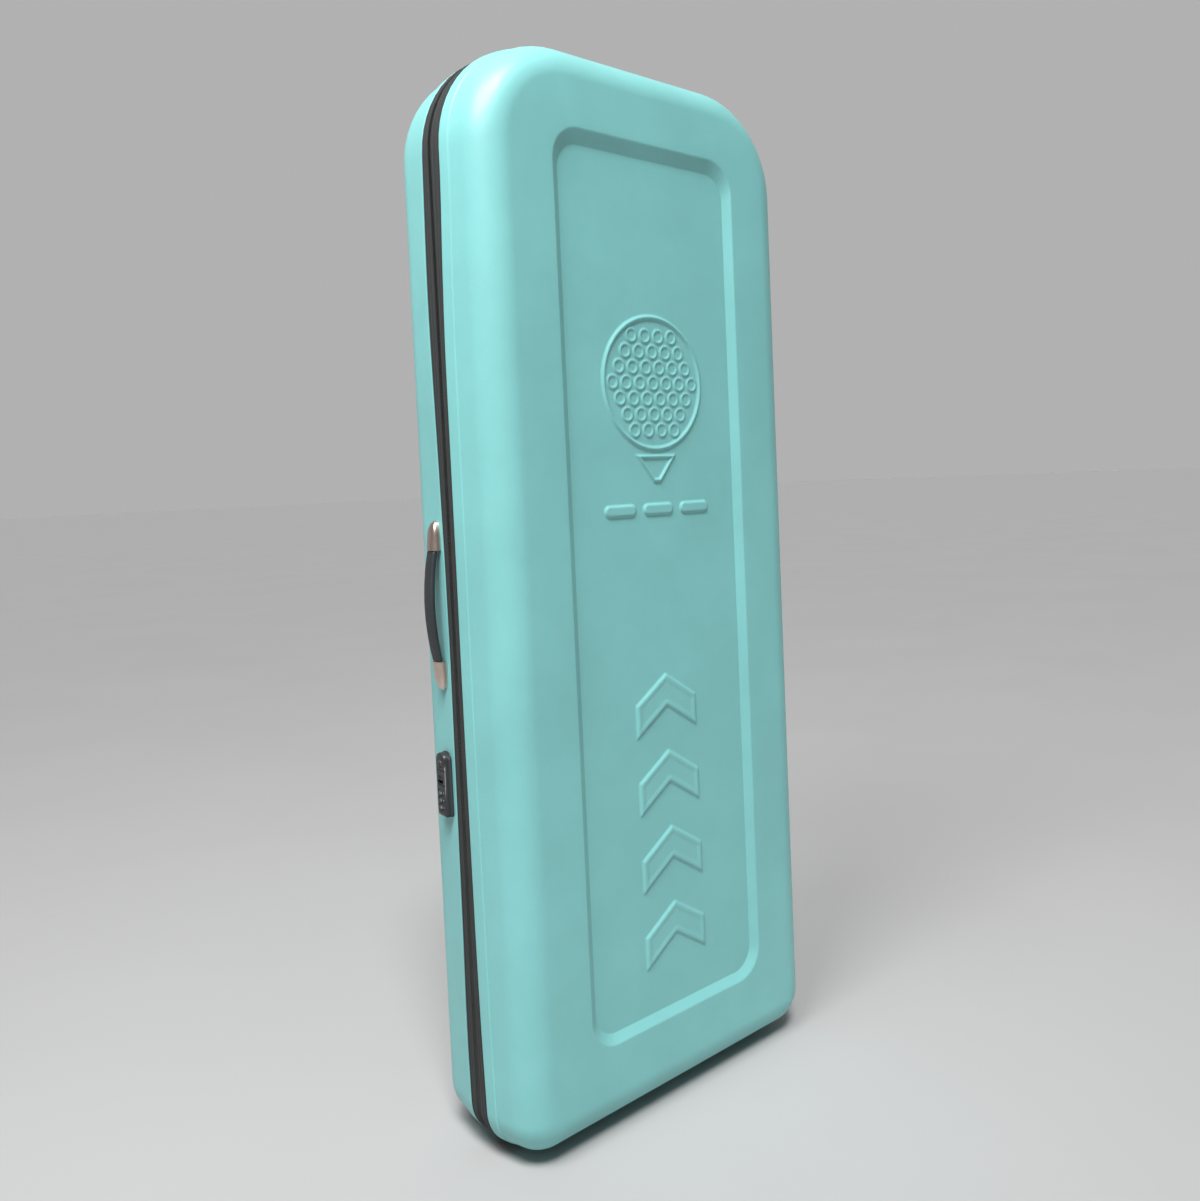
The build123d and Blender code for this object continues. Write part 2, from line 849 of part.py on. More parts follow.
for side, name in ((-1, "left"), (1, "right")):
    middle = side * wheel_x
    well = block(
        (middle - well_width / 2, housing_front + 2, -1),
        (middle + well_width / 2, rear_depth + 10, housing_top - 3),
    )
    bore = Pos(middle, wheel_y, axle_z) * Rot(0, 90, 0) * Cylinder(axle_radius + running_gap, 60)
    with BuildPart() as housing:
        add(rear_outer)
        add(wheel_box(side, 0), mode=Mode.INTERSECT)
        add(well, mode=Mode.SUBTRACT)
        add(bore, mode=Mode.SUBTRACT)
    finish(housing.part, f"wheel_housing_{name}")

    axle = Pos(middle, wheel_y, axle_z) * Rot(0, 90, 0) * Cylinder(axle_radius, housing_width)
    finish(axle, f"axle_{name}")

    seats = [middle + end * (wheel_width / 2 - 1 - bearing_width / 2) for end in (-1, 1)]
    hub_body = wheel_ring(middle, hub_radius, 6, wheel_width - 2)
    pockets = [wheel_ring(seat, bearing_radius, 5, bearing_width) for seat in seats]
    with BuildPart() as hub:
        add(hub_body)
        for pocket in pockets:
            add(pocket, mode=Mode.SUBTRACT)
    finish(hub.part, f"hub_{name}")

    tread = wheel_ring(middle, wheel_radius, hub_radius, wheel_width)
    with BuildPart() as tyre:
        add(tread)
        rims = tyre.edges().filter_by(GeomType.CIRCLE).group_by(SortBy.RADIUS)[-1]
        fillet(rims, 4)
    finish(tyre.part, f"tyre_{name}")

    inner = axle_radius + running_gap
    races = [wheel_ring(seat, bearing_radius, inner, bearing_width) for seat in seats]
    with BuildPart() as bearings:
        for race in races:
            add(race)
    finish(bearings.part, f"wheel_bearings_{name}")

# Feet under the lid, and their screws
for side, name in ((-1, "left"), (1, "right")):
    with BuildPart() as foot:
        with BuildSketch(Plane.XY):
            with Locations((side * foot_x, foot_y)):
                SlotOverall(foot_length, foot_width)
        extrude(amount=foot_height)
        chamfer(foot.faces().sort_by(Axis.Z)[0].edges(), 1.2)
        add(front_outer, mode=Mode.SUBTRACT)
        add(foot_screw_holes, mode=Mode.SUBTRACT)
    finish(foot.part, f"foot_{name}")
foot_head_top = foot_screw_seat + foot_screw_head
shank = screw_radius - screw_play
shanks = drilled(Plane.XY, foot_screw_spots, shank, foot_screw_tip, foot_screw_seat)
heads = drilled(
    Plane.XY, foot_screw_spots, screw_head_radius, foot_screw_seat, foot_head_top
)
with BuildPart() as foot_screws:
    add(shanks)
    add(heads)
finish(foot_screws.part, "foot_screws")

print(len(nodes), "nodes")
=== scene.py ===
from contextlib import contextmanager
from math import atan2, cos, hypot, pi, radians, sin, sqrt, tan

import bmesh
import bpy
import numpy as np
from mathutils import Matrix, Vector, noise
from mathutils.geometry import tessellate_polygon


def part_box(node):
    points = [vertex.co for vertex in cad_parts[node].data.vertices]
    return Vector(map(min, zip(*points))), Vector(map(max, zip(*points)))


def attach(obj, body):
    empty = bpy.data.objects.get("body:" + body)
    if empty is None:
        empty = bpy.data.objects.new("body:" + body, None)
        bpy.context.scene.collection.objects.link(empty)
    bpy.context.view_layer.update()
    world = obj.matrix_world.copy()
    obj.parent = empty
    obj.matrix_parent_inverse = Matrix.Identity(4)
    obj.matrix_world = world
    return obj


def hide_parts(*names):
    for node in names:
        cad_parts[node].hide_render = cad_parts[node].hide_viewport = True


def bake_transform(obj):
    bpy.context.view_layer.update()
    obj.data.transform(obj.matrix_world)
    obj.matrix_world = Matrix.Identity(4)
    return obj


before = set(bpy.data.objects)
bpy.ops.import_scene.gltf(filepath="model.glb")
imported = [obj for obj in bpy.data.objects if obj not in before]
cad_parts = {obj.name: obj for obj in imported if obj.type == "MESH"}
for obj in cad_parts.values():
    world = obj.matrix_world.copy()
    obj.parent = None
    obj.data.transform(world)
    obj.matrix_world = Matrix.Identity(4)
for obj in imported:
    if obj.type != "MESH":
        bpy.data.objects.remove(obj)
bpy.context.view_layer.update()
MM = 0.001

# ---------------------------------------------------------------------------
# The case's dimensions, in metres, read from the frame where a node gives them
# ---------------------------------------------------------------------------
shell_low, shell_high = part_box("front_shell")
rear_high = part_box("rear_shell")[1]
CASE_LOW, CASE_HIGH = shell_low.z, shell_high.z
HALF_WIDTH = (shell_high.x - shell_low.x) / 2
BAND = -shell_high.y                 # half the zip band between the shells
DEPTH = {"front": -shell_low.y, "rear": rear_high.y}
DRAFT = {"front": radians(6.87), "rear": radians(5.95)}
SIDE = {"front": -1, "rear": 1}
BODY = {"front": "lid", "rear": "base"}
TOP_CORNER = 131 * MM
BOTTOM_CORNER = 54 * MM
FACE_ROUND = 42 * MM
WALL = 3 * MM
PANEL_HALF = 146 * MM
PANEL_LOW = CASE_LOW + 104.5 * MM
PANEL_HIGH = CASE_LOW + 1178.4 * MM
PANEL_CORNER, PANEL_FLOOR_CORNER = 40 * MM, 31 * MM
PANEL_DEPTH = 7.3 * MM
PANEL_RUN, PANEL_TOP_RUN = 11 * MM, 17 * MM
RIM_WIDTH = 16.7 * MM
RIM_STEP = 1.0 * MM
# how far each shell's rim stands off the zip plane's even line, by height: the band is soft
SLACK_HEIGHTS = [0, 70, 120, 170, 260, 360, 450, 590, 700]
SLACK_HEIGHTS += [810, 900, 950, 990, 1050, 1080, 1130, 1200, 1290]
SLACK = {
    "front": [7.0, 5.5, 3.5, 2.0, 0.6, 0, -0.6, -0.6, 0, 0, 0, 0.6, 2.0, 4.4, 6.4, 8.4, 8.6, 8.0],
    "rear": [2.0, 2.7, 4.2, 4.2, 2.2, 1.0, 0, -1.4, -0.3, 2.4, 5.2, 6.6, 7.2, 6.4, 5.4, 3.8, 1.5, 0],
}
SLACK_START, SLACK_FADE = 3.4 * MM, 62 * MM      # clear of the coils, and back to even


# ---------------------------------------------------------------------------
# Mesh helpers
# ---------------------------------------------------------------------------
def mesh_object(name, verts, faces, smooth=True):
    """A new object from plain lists of points and faces."""
    mesh = bpy.data.meshes.new(name)
    mesh.from_pydata([tuple(v) for v in verts], [], faces)
    mesh.update()
    if smooth:
        mesh.shade_smooth()
    obj = bpy.data.objects.new(name, mesh)
    bpy.context.scene.collection.objects.link(obj)
    return obj


@contextmanager
def editing(obj):
    """An object's mesh opened for editing, then written back."""
    bm = bmesh.new()
    bm.from_mesh(obj.data)
    bm.verts.ensure_lookup_table()
    yield bm
    bm.to_mesh(obj.data)
    bm.free()


def tidy_normals(obj, merge=True):
    """Turn every face outwards; doubled points are merged unless they carry coordinates."""
    with editing(obj) as bm:
        if merge:
            bmesh.ops.remove_doubles(bm, verts=bm.verts, dist=0.00001)
        bmesh.ops.recalc_face_normals(bm, faces=bm.faces)
    return obj


def sharpen(obj, angle=35):
    """Smooth shading with edges sharper than this angle kept crisp."""
    obj.data.shade_smooth()
    obj.data.set_sharp_from_angle(angle=radians(angle))
    return obj


def apply_modifiers(obj):
    """Bake the modifiers of an object into its mesh."""
    graph = bpy.context.evaluated_depsgraph_get()
    mesh = bpy.data.meshes.new_from_object(obj.evaluated_get(graph))
    obj.modifiers.clear()
    old = obj.data
    obj.data = mesh
    mesh.name = old.name
    return obj


def bevelled(obj, width, segments=3, angle=30):
    """Round the sharp edges of an object."""
    mod = obj.modifiers.new("bevel", "BEVEL")
    mod.width = width
    mod.segments = segments
    mod.limit_method = "ANGLE"
    mod.angle_limit = radians(angle)
    mod.harden_normals = False
    return sharpen(apply_modifiers(obj), 40)


def join(name, parts):
    """Join several mesh objects into one, under a new name."""
    verts, faces, mats, face_mats = [], [], [], []
    for part in parts:
        start = len(verts)
        world = part.matrix_world
        verts += [world @ v.co for v in part.data.vertices]
        slots = []
        for mat in part.data.materials:
            if mat not in mats:
                mats.append(mat)
            slots.append(mats.index(mat))
        for face in part.data.polygons:
            faces.append([start + i for i in face.vertices])
            face_mats.append(slots[face.material_index] if slots else 0)
    obj = mesh_object(name, verts, faces)
    for mat in mats:
        obj.data.materials.append(mat)
    obj.data.polygons.foreach_set("material_index", face_mats)
    for part in parts:
        bpy.data.objects.remove(part)
    return obj


def loft(name, rings, close_path=False, caps=False):
    """A skin through rings of points; every ring is a closed loop of the same length."""
    count = len(rings[0])
    verts = [p for ring in rings for p in ring]
    faces = []
    steps = len(rings) if close_path else len(rings) - 1
    for i in range(steps):
        a, b = i * count, ((i + 1) % len(rings)) * count
        for k in range(count):
            n = (k + 1) % count
            faces.append((a + k, a + n, b + n, b + k))
    if caps:
        faces.append(tuple(reversed(range(count))))
        faces.append(tuple((len(rings) - 1) * count + k for k in range(count)))
    return mesh_object(name, verts, faces)


def tube_faces(start, size, loops):
    """The faces of a capped tube whose rings of points follow on from one another."""
    faces = [tuple(start + k for k in reversed(range(size)))]
    faces.append(tuple(start + (loops - 1) * size + k for k in range(size)))
    for r in range(loops - 1):
        a, b = start + r * size, start + (r + 1) * size
        for k in range(size):
            n = (k + 1) % size
            faces.append((a + k, a + n, b + n, b + k))
    return faces


def prism(name, outline, low, high, place):
    """A flat outline given thickness; place turns (u, v, w) into a point."""
    count = len(outline)
    verts = [place(u, v, low) for u, v in outline] + [place(u, v, high) for u, v in outline]
    faces = [tuple(reversed(range(count))), tuple(range(count, 2 * count))]
    faces += [(k, (k + 1) % count, count + (k + 1) % count, count + k) for k in range(count)]
    return tidy_normals(mesh_object(name, verts, faces))


def turned(name, profile, place, steps=48, closed=True):
    """A turned piece: profile is (radius, along) pairs; place turns (x, y, along) into a point."""
    rings = []
    for step in range(steps):
        angle = 2 * pi * step / steps
        rings.append([place(r * cos(angle), r * sin(angle), a) for r, a in profile])
    count = len(profile)
    verts = [p for ring in rings for p in ring]
    faces = []
    for i in range(steps):
        a, b = i * count, ((i + 1) % steps) * count
        for k in range(count if closed else count - 1):
            n = (k + 1) % count
            faces.append((a + k, a + n, b + n, b + k))
    return tidy_normals(mesh_object(name, verts, faces))


def slab(name, low, high, place=lambda u, v, w: Vector((u, v, w))):
    """A block between two corners, ready to be bevelled."""
    outline = [(low[0], low[1]), (high[0], low[1]), (high[0], high[1]), (low[0], high[1])]
    return prism(name, outline, low[2], high[2], place)


def arc(cx, cy, r, start, end, steps):
    """Points on an arc, angles in degrees."""
    turn = [radians(start + (end - start) * k / steps) for k in range(steps + 1)]
    return [(cx + r * cos(a), cy + r * sin(a)) for a in turn]


def rounded(half_u, half_v, r, steps=6, cu=0.0, cv=0.0):
    """A rounded rectangle's outline; r is one radius or four, from the +u +v corner on."""
    radii = [r] * 4 if not isinstance(r, (list, tuple)) else r
    signs = [(1, 1), (-1, 1), (-1, -1), (1, -1)]
    points = []
    for k, ((su, sv), q) in enumerate(zip(signs, radii)):
        points += arc(cu + su * (half_u - q), cv + sv * (half_v - q), q, 90 * k, 90 * k + 90, steps)
    return points


# ---------------------------------------------------------------------------
# The case's outline and profile
# ---------------------------------------------------------------------------
CORNER_STEPS = 14
LONG_STEPS = 36
SHORT_STEPS = 14


def outline(inset, half=HALF_WIDTH, low=CASE_LOW, high=CASE_HIGH, corners=(TOP_CORNER, BOTTOM_CORNER)):
    """The (x, z) points of a rounded outline this far inside its line, always equally many."""
    top = max(corners[0] - inset, 0.5 * MM)
    bottom = max(corners[1] - inset, 0.5 * MM)
    half, low, high = half - inset, low + inset, high - inset
    spots = [
        (half - top, high - top, top, 0, SHORT_STEPS),
        (-half + top, high - top, top, 90, LONG_STEPS),
        (-half + bottom, low + bottom, bottom, 180, SHORT_STEPS),
        (half - bottom, low + bottom, bottom, 270, LONG_STEPS),
    ]
    points = []
    for k, (cx, cz, r, start, straight) in enumerate(spots):
        points += arc(cx, cz, r, start, start + 90, CORNER_STEPS)
        nx, nz, nr, nstart, _ = spots[(k + 1) % 4]
        a = Vector(points[-1])
        b = Vector((nx + nr * cos(radians(nstart)), nz + nr * sin(radians(nstart))))
        points += [tuple(a.lerp(b, j / straight)) for j in range(1, straight)]
    return points


def panel_outline(grow):
    """The sunk panel's outline, this far outside its edge, with as many points as the case's."""
    inside = min(grow, 0)
    corner = PANEL_CORNER + max(grow, 0) + inside * (PANEL_CORNER - PANEL_FLOOR_CORNER) / PANEL_RUN
    top = PANEL_HIGH + max(grow, 0) + inside * PANEL_TOP_RUN / PANEL_RUN
    return outline(0, PANEL_HALF + grow, PANEL_LOW - grow, top, (corner, corner))


def slack(half, depth, z):
    """How far a point at this depth moves from the zip plane, because the band is soft."""
    amount = np.interp(z / MM, SLACK_HEIGHTS, SLACK[half]) * MM
    near = min(max((depth - SLACK_START) / (BAND - SLACK_START), 0), 1)
    far = 1 - min(max((depth - BAND) / (SLACK_FADE - BAND), 0), 1)
    return amount * near * far * far * (3 - 2 * far)


def ring_at(half, points, depth):
    """Outline points carried to a depth of one half of the case."""
    return [Vector((x, SIDE[half] * (depth + slack(half, depth, z)), z)) for x, z in points]


def side_profile(half, thick):
    """(inset, depth) from the rim to the face, along the outside less a wall of this thickness."""
    depth, draft = DEPTH[half] - thick, DRAFT[half]
    radius = FACE_ROUND - thick
    centre_depth = depth - radius
    start = centre_depth + radius * sin(draft)
    slope = tan(draft)
    centre_inset = (start - BAND) * slope + radius * cos(draft) + thick
    profile = []
    for d in (1.2, 4, 8, 12, 15.4, 15.9, 16.2, 16.5, 16.8, 17.1, 17.6, 19.2, 22, 28):
        reach = BAND + d * MM
        t = min(max((d * MM - RIM_WIDTH + 0.8 * MM) / (1.3 * MM), 0), 1)
        step = RIM_STEP * t * t * (3 - 2 * t) if thick == 0 else 0
        profile.append((thick + (reach - BAND) * slope + step, reach))
    turn_steps = 18
    for k in range(turn_steps + 1):
        angle = draft + (pi / 2 - draft) * k / turn_steps
        fade = RIM_STEP * (1 - k / turn_steps) if thick == 0 else 0
        profile.append(
            (centre_inset - radius * cos(angle) + fade * cos(angle), centre_depth + radius * sin(angle))
        )
    return profile


def lip_profile(half, thick):
    """(grow, depth) from the face, over the panel's lip and down its slope to its floor."""
    face = DEPTH[half] - thick
    r_lip, r_foot = (5.0 * MM, 1.6 * MM) if thick == 0 else (3.0 * MM, 5.0 * MM)
    tilt = atan2(PANEL_DEPTH, PANEL_RUN)
    grow = thick * tan(tilt / 2)
    profile = [(grow + 16 * MM, face), (grow + 8 * MM, face)]
    half_turn = r_lip * tan(tilt / 2)
    for k in range(7):
        a = tilt * k / 6
        profile.append((grow + half_turn - r_lip * sin(a), face - r_lip * (1 - cos(a))))
    half_turn = r_foot * tan(tilt / 2)
    for k in range(7):
        a = tilt * (1 - k / 6)
        profile.append(
            (grow - PANEL_RUN - half_turn + r_foot * sin(a), face - PANEL_DEPTH + r_foot * (1 - cos(a)))
        )
    return profile


def shell_mesh(half):
    """One moulded shell, outside and inside, with its panel's floor left open outside."""
    rim = [(WALL, BAND + 1.0 * MM), (WALL * 0.9, BAND + 0.3 * MM)]
    rim += [(WALL * 0.65, BAND), (0.9 * MM, BAND)]
    rim += [(0.35 * MM, BAND + 0.12 * MM), (0.08 * MM, BAND + 0.45 * MM)]
    inside = side_profile(half, WALL)
    outside = side_profile(half, 0)
    rings = [ring_at(half, panel_outline(g), d) for g, d in reversed(lip_profile(half, WALL))]
    rings += [ring_at(half, outline(i), d) for i, d in reversed(inside)]
    rings += [ring_at(half, outline(i), d) for i, d in rim + outside]
    rings += [ring_at(half, panel_outline(g), d) for g, d in lip_profile(half, 0)]
    shell = loft(f"{half}_shell_moulding", rings)
    with editing(shell) as bm:
        bm.faces.new([bm.verts[i] for i in range(len(rings[0]))])
    return shell, rings[-1]


# ---------------------------------------------------------------------------
# Raised figures on the lid's panel: a ball on a tee, three bars, four chevrons
# ---------------------------------------------------------------------------
BALL_R, BALL_Z = 84 * MM, 899 * MM
TEE = [(-34, 812), (34, 812), (6, 778), (-6, 778)]
BAR_Z, BAR_HALF, BAR_R = 745 * MM, 26 * MM, 8 * MM
CHEVRON_LOW, CHEVRON_PITCH, CHEVRON_COUNT = 176 * MM, 96 * MM, 4
CHEVRON = [(-52, 0), (0, 34), (52, 0), (52, 44), (0, 78), (-52, 44)]
RELIEF = 2.4 * MM


def smooth_step(t):
    t = np.clip(t, 0, 1)
    return t * t * (3 - 2 * t)


def segment_distance(x, z, a, b):
    """Distance from each point to one straight segment."""
    ax, az = a
    bx, bz = b
    length = (bx - ax) ** 2 + (bz - az) ** 2
    t = np.clip(((x - ax) * (bx - ax) + (z - az) * (bz - az)) / length, 0, 1)
    return np.hypot(x - ax - t * (bx - ax), z - az - t * (bz - az))


def polygon_distance(x, z, points):
    """Signed distance to a polygon: positive inside."""
    near = np.full_like(x, 1e9)
    inside = np.zeros(x.shape, bool)
    for a, b in zip(points, points[1:] + points[:1]):
        near = np.minimum(near, segment_distance(x, z, a, b))
        crosses = (a[1] > z) != (b[1] > z)
        with np.errstate(divide="ignore", invalid="ignore"):
            at = a[0] + (z - a[1]) / (b[1] - a[1]) * (b[0] - a[0])
        inside ^= crosses & (x < at)
    return np.where(inside, near, -near)


def ridge(distance, width):
    """A rounded ridge's height, from 1 on its line to 0 at its edge."""
    return np.where(distance < width, 0.5 + 0.5 * np.cos(pi * distance / width), 0)


def relief_height(x, z):
    """Height of the raised figures over the panel's floor."""
    mm = [[(u * MM, v * MM) for u, v in shape] for shape in (TEE, CHEVRON)]
    reach = np.hypot(x, z - BALL_Z)
    height = ridge(np.abs(reach - BALL_R + 4 * MM), 4.2 * MM)
    pitch, dimple = 22 * MM, 7.6 * MM
    for row in range(-5, 6):
        for col in range(-5, 6):
            cu, cv = (col + (row % 2) / 2) * pitch, row * pitch * sqrt(3) / 2
            if hypot(cu, cv) + dimple > BALL_R - 9 * MM:
                continue
            around = np.hypot(x - cu, z - BALL_Z - cv)
            height = np.maximum(height, 0.62 * ridge(np.abs(around - dimple), 2.6 * MM))
    tee = np.abs(polygon_distance(x, z, mm[0]) - 2.5 * MM)
    height = np.maximum(height, ridge(tee, 3.4 * MM))
    for spot in (-62 * MM, 0, 62 * MM):
        bar = segment_distance(x, z, (spot - BAR_HALF + BAR_R, BAR_Z), (spot + BAR_HALF - BAR_R, BAR_Z))
        height = np.maximum(height, smooth_step((BAR_R - bar) / (3.2 * MM)))
    for step in range(CHEVRON_COUNT):
        lift = CHEVRON_LOW + step * CHEVRON_PITCH
        shape = [(u, v + lift) for u, v in mm[1]]
        edge = polygon_distance(x, z, shape)
        rim = 0.28 * ridge(np.abs(edge - 5.5 * MM), 5.5 * MM)
        height = np.maximum(height, 0.72 * smooth_step(edge / (3.6 * MM)) + rim)
    return height * RELIEF


def fine_steps(spans, fine, coarse):
    """Grid lines, close together in every second span, from the first value to the last."""
    lines = [spans[0]]
    for k, (a, b) in enumerate(zip(spans, spans[1:])):
        count = max(1, round((b - a) / (fine if k % 2 == 0 else coarse)))
        lines += [a + (b - a) * (j + 1) / count for j in range(count)]
    return lines


def panel_floor(half, edge, figures):
    """The sunk panel's floor: a fine grid where the raised figures are, flat round it."""
    depth = SIDE[half] * (DEPTH[half] - PANEL_DEPTH)
    loop = [Vector((p.x, p.z, 0)) for p in edge]
    if not figures:
        verts = [(p.x, depth, p.y) for p in loop]
        return mesh_object(f"{half}_shell_panel", verts, [tuple(range(len(verts)))])
    xs = np.array(fine_steps([-94 * MM, 94 * MM], 1.3 * MM, 10 * MM))
    zs = np.array(fine_steps([v * MM for v in (170, 552, 733, 757, 772, 990)], 1.3 * MM, 12 * MM))
    gx, gz = np.meshgrid(xs, zs)
    height = relief_height(gx, gz)
    cols, rows = len(xs), len(zs)
    verts = [(x, depth + SIDE[half] * h, z) for x, z, h in zip(gx.ravel(), gz.ravel(), height.ravel())]
    faces = [
        (r * cols + c, r * cols + c + 1, (r + 1) * cols + c + 1, (r + 1) * cols + c)
        for r in range(rows - 1)
        for c in range(cols - 1)
    ]
    rim = [c for c in range(cols)] + [r * cols + cols - 1 for r in range(1, rows)]
    rim += [(rows - 1) * cols + c for c in range(cols - 2, -1, -1)]
    rim += [r * cols for r in range(rows - 2, 0, -1)]
    hole = [Vector((verts[i][0], verts[i][2], 0)) for i in rim]
    start = len(verts)
    verts += [(p.x, depth, p.y) for p in loop]
    index = [start + k for k in range(len(loop))] + rim
    for tri in tessellate_polygon([loop, hole]):
        faces.append(tuple(index[i] for i in tri))
    obj = mesh_object(f"{half}_shell_panel", verts, faces)
    with editing(obj) as bm:
        bmesh.ops.recalc_face_normals(bm, faces=bm.faces)
        up = sum((f.normal.y * f.calc_area() for f in bm.faces), 0.0)
        if up * SIDE[half] < 0:
            bmesh.ops.reverse_faces(bm, faces=bm.faces)
    return obj


# ---------------------------------------------------------------------------
# Materials
# ---------------------------------------------------------------------------
class Look:
    """A node material: a Principled shader whose inputs are set or linked by name."""

    def __init__(self, name, roughness=0.5, **values):
        self.mat = bpy.data.materials.new(name)
        self.mat.use_nodes = True
        self.tree = self.mat.node_tree
        self.shader = self.tree.nodes["Principled BSDF"]
        self.shader.inputs["Roughness"].default_value = roughness
        for key, value in values.items():
            self.shader.inputs[key.replace("_", " ")].default_value = value
        self.coords = self.tree.nodes.new("ShaderNodeTexCoord").outputs["Object"]

    def node(self, kind, **settings):
        made = self.tree.nodes.new(kind)
        for key, value in settings.items():
            setattr(made, key, value)
        return made

    def link(self, source, target):
        self.tree.links.new(source, target)

    def path_coords(self):
        """Use the piece's own path coordinates, along and across, in metres."""
        self.coords = self.node("ShaderNodeUVMap", uv_map="path").outputs["UV"]
        return self

    def noise(self, scale, detail=4.0, rough=0.55):
        made = self.node("ShaderNodeTexNoise")
        made.inputs["Scale"].default_value = scale
        made.inputs["Detail"].default_value = detail
        made.inputs["Roughness"].default_value = rough
        self.link(self.coords, made.inputs["Vector"])
        return made.outputs["Fac"]

    def cells(self, scale, feature="F1"):
        made = self.node("ShaderNodeTexVoronoi", feature=feature)
        made.inputs["Scale"].default_value = scale
        self.link(self.coords, made.inputs["Vector"])
        return made.outputs["Distance"]

    def waves(self, axis, scale, distortion=0.0):
        made = self.node("ShaderNodeTexWave", bands_direction=axis, wave_profile="SIN")
        made.inputs["Scale"].default_value = scale
        made.inputs["Distortion"].default_value = distortion
        self.link(self.coords, made.inputs["Vector"])
        return made.outputs["Fac"]

    def crossing_waves(self, scale):
        """On each face only the two sets of waves that run across it, added together."""
        facing = self.node("ShaderNodeSeparateXYZ")
        self.link(self.node("ShaderNodeTexCoord").outputs["Normal"], facing.inputs[0])
        total = None
        for axis in "XYZ":
            flat = self.math("ABSOLUTE", facing.outputs[axis], 0)
            weight = self.spread(flat, 1, 0, 0.4, 0.75)
            part = self.math("MULTIPLY", self.waves(axis, scale), weight)
            total = part if total is None else self.math("ADD", total, part)
        return total

    def math(self, operation, a, b):
        made = self.node("ShaderNodeMath", operation=operation)
        for socket, value in zip(made.inputs, (a, b)):
            if isinstance(value, (int, float)):
                socket.default_value = value
            else:
                self.link(value, socket)
        return made.outputs["Value"]

    def ramp(self, value, stops):
        """A colour ramp; stops are (position, colour) pairs."""
        made = self.node("ShaderNodeValToRGB")
        elements = made.color_ramp.elements
        while len(elements) < len(stops):
            elements.new(0.5)
        for element, (position, colour) in zip(elements, stops):
            element.position = position
            element.color = (*colour, 1)
        self.link(value, made.inputs["Fac"])
        return made.outputs["Color"]

    def spread(self, value, low, high, lowest=0.0, highest=1.0):
        """Map a 0 to 1 value onto another range."""
        made = self.node("ShaderNodeMapRange")
        made.inputs["From Min"].default_value = lowest
        made.inputs["From Max"].default_value = highest
        made.inputs["To Min"].default_value = low
        made.inputs["To Max"].default_value = high
        self.link(value, made.inputs["Value"])
        return made.outputs["Result"]

    def bump(self, height, distance, strength=1.0, over=None):
        made = self.node("ShaderNodeBump")
        made.inputs["Distance"].default_value = distance
        made.inputs["Strength"].default_value = strength
        self.link(height, made.inputs["Height"])
        if over is not None:
            self.link(over, made.inputs["Normal"])
        self.link(made.outputs["Normal"], self.shader.inputs["Normal"])
        return made.outputs["Normal"]

    def colour(self, output):
        self.link(output, self.shader.inputs["Base Color"])
        return self

    def rough(self, output):
        self.link(output, self.shader.inputs["Roughness"])
        return self


def tints(colour, low, high):
    """Two shades of one colour."""
    return [tuple(c * low for c in colour), tuple(c * high for c in colour)]


def shell_look():
    """Moulded polycarbonate with a fine pebble grain, slightly mottled."""
    look = Look("shell_grain", Specular_IOR_Level=0.5)
    mottled = look.noise(9, 5)
    dark, pale = tints((0.218, 0.560, 0.552), 0.95, 1.05)
    look.colour(look.ramp(mottled, [(0.3, dark), (0.7, pale)]))
    look.rough(look.spread(look.noise(60, 3), 0.34, 0.46))
    grain = look.bump(look.cells(780, "SMOOTH_F1"), 0.00022, 0.55)
    look.bump(look.noise(2600, 2), 0.00006, 0.5, over=grain)
    return look.mat


def woven_look(name, colour, pitch, path=False, depth=0.00025, sheen=0.2, contrast=0.35):
    """Plain-woven cloth: two crossing sets of threads at this pitch."""
    look = Look(name, 0.88, Sheen_Weight=sheen, Sheen_Roughness=0.5)
    if path:
        look.path_coords()
    scale = 1 / pitch / pi
    if path:
        total = look.math("ADD", look.waves("X", scale), look.waves("Y", scale))
    else:
        total = look.crossing_waves(scale)
    threads = look.math("MULTIPLY", total, 0.5)
    uneven = look.math("ADD", threads, look.math("MULTIPLY", look.noise(300, 3), 0.6))
    dark, pale = tints(colour, 1 - contrast, 1 + contrast)
    look.colour(look.ramp(uneven, [(0.35, dark), (1.0, pale)]))
    look.bump(threads, depth, 0.7)
    return look.mat


def plastic_look(name, colour, rough=0.45, grain=1200, depth=0.00008, mottle=0.12):
    """Moulded plastic or rubber with a fine spark-eroded grain."""
    look = Look(name)
    dark, pale = tints(colour, 1 - mottle, 1 + mottle)
    look.colour(look.ramp(look.noise(35, 4), [(0.3, dark), (0.7, pale)]))
    look.rough(look.spread(look.noise(220, 3), rough - 0.06, rough + 0.08))
    look.bump(look.noise(grain, 3), depth, 0.6)
    return look.mat


def metal_look(name, colour, rough=0.3, brushed="Z"):
    """Satin metal with fine lines along one axis."""
    look = Look(name, Metallic=1.0)
    dark, pale = tints(colour, 0.92, 1.06)
    look.colour(look.ramp(look.noise(50, 4), [(0.3, dark), (0.7, pale)]))
    look.rough(look.spread(look.noise(400, 2), rough - 0.05, rough + 0.07))
    look.bump(look.waves(brushed, 900, 6.0), 0.00002, 0.35)
    return look.mat


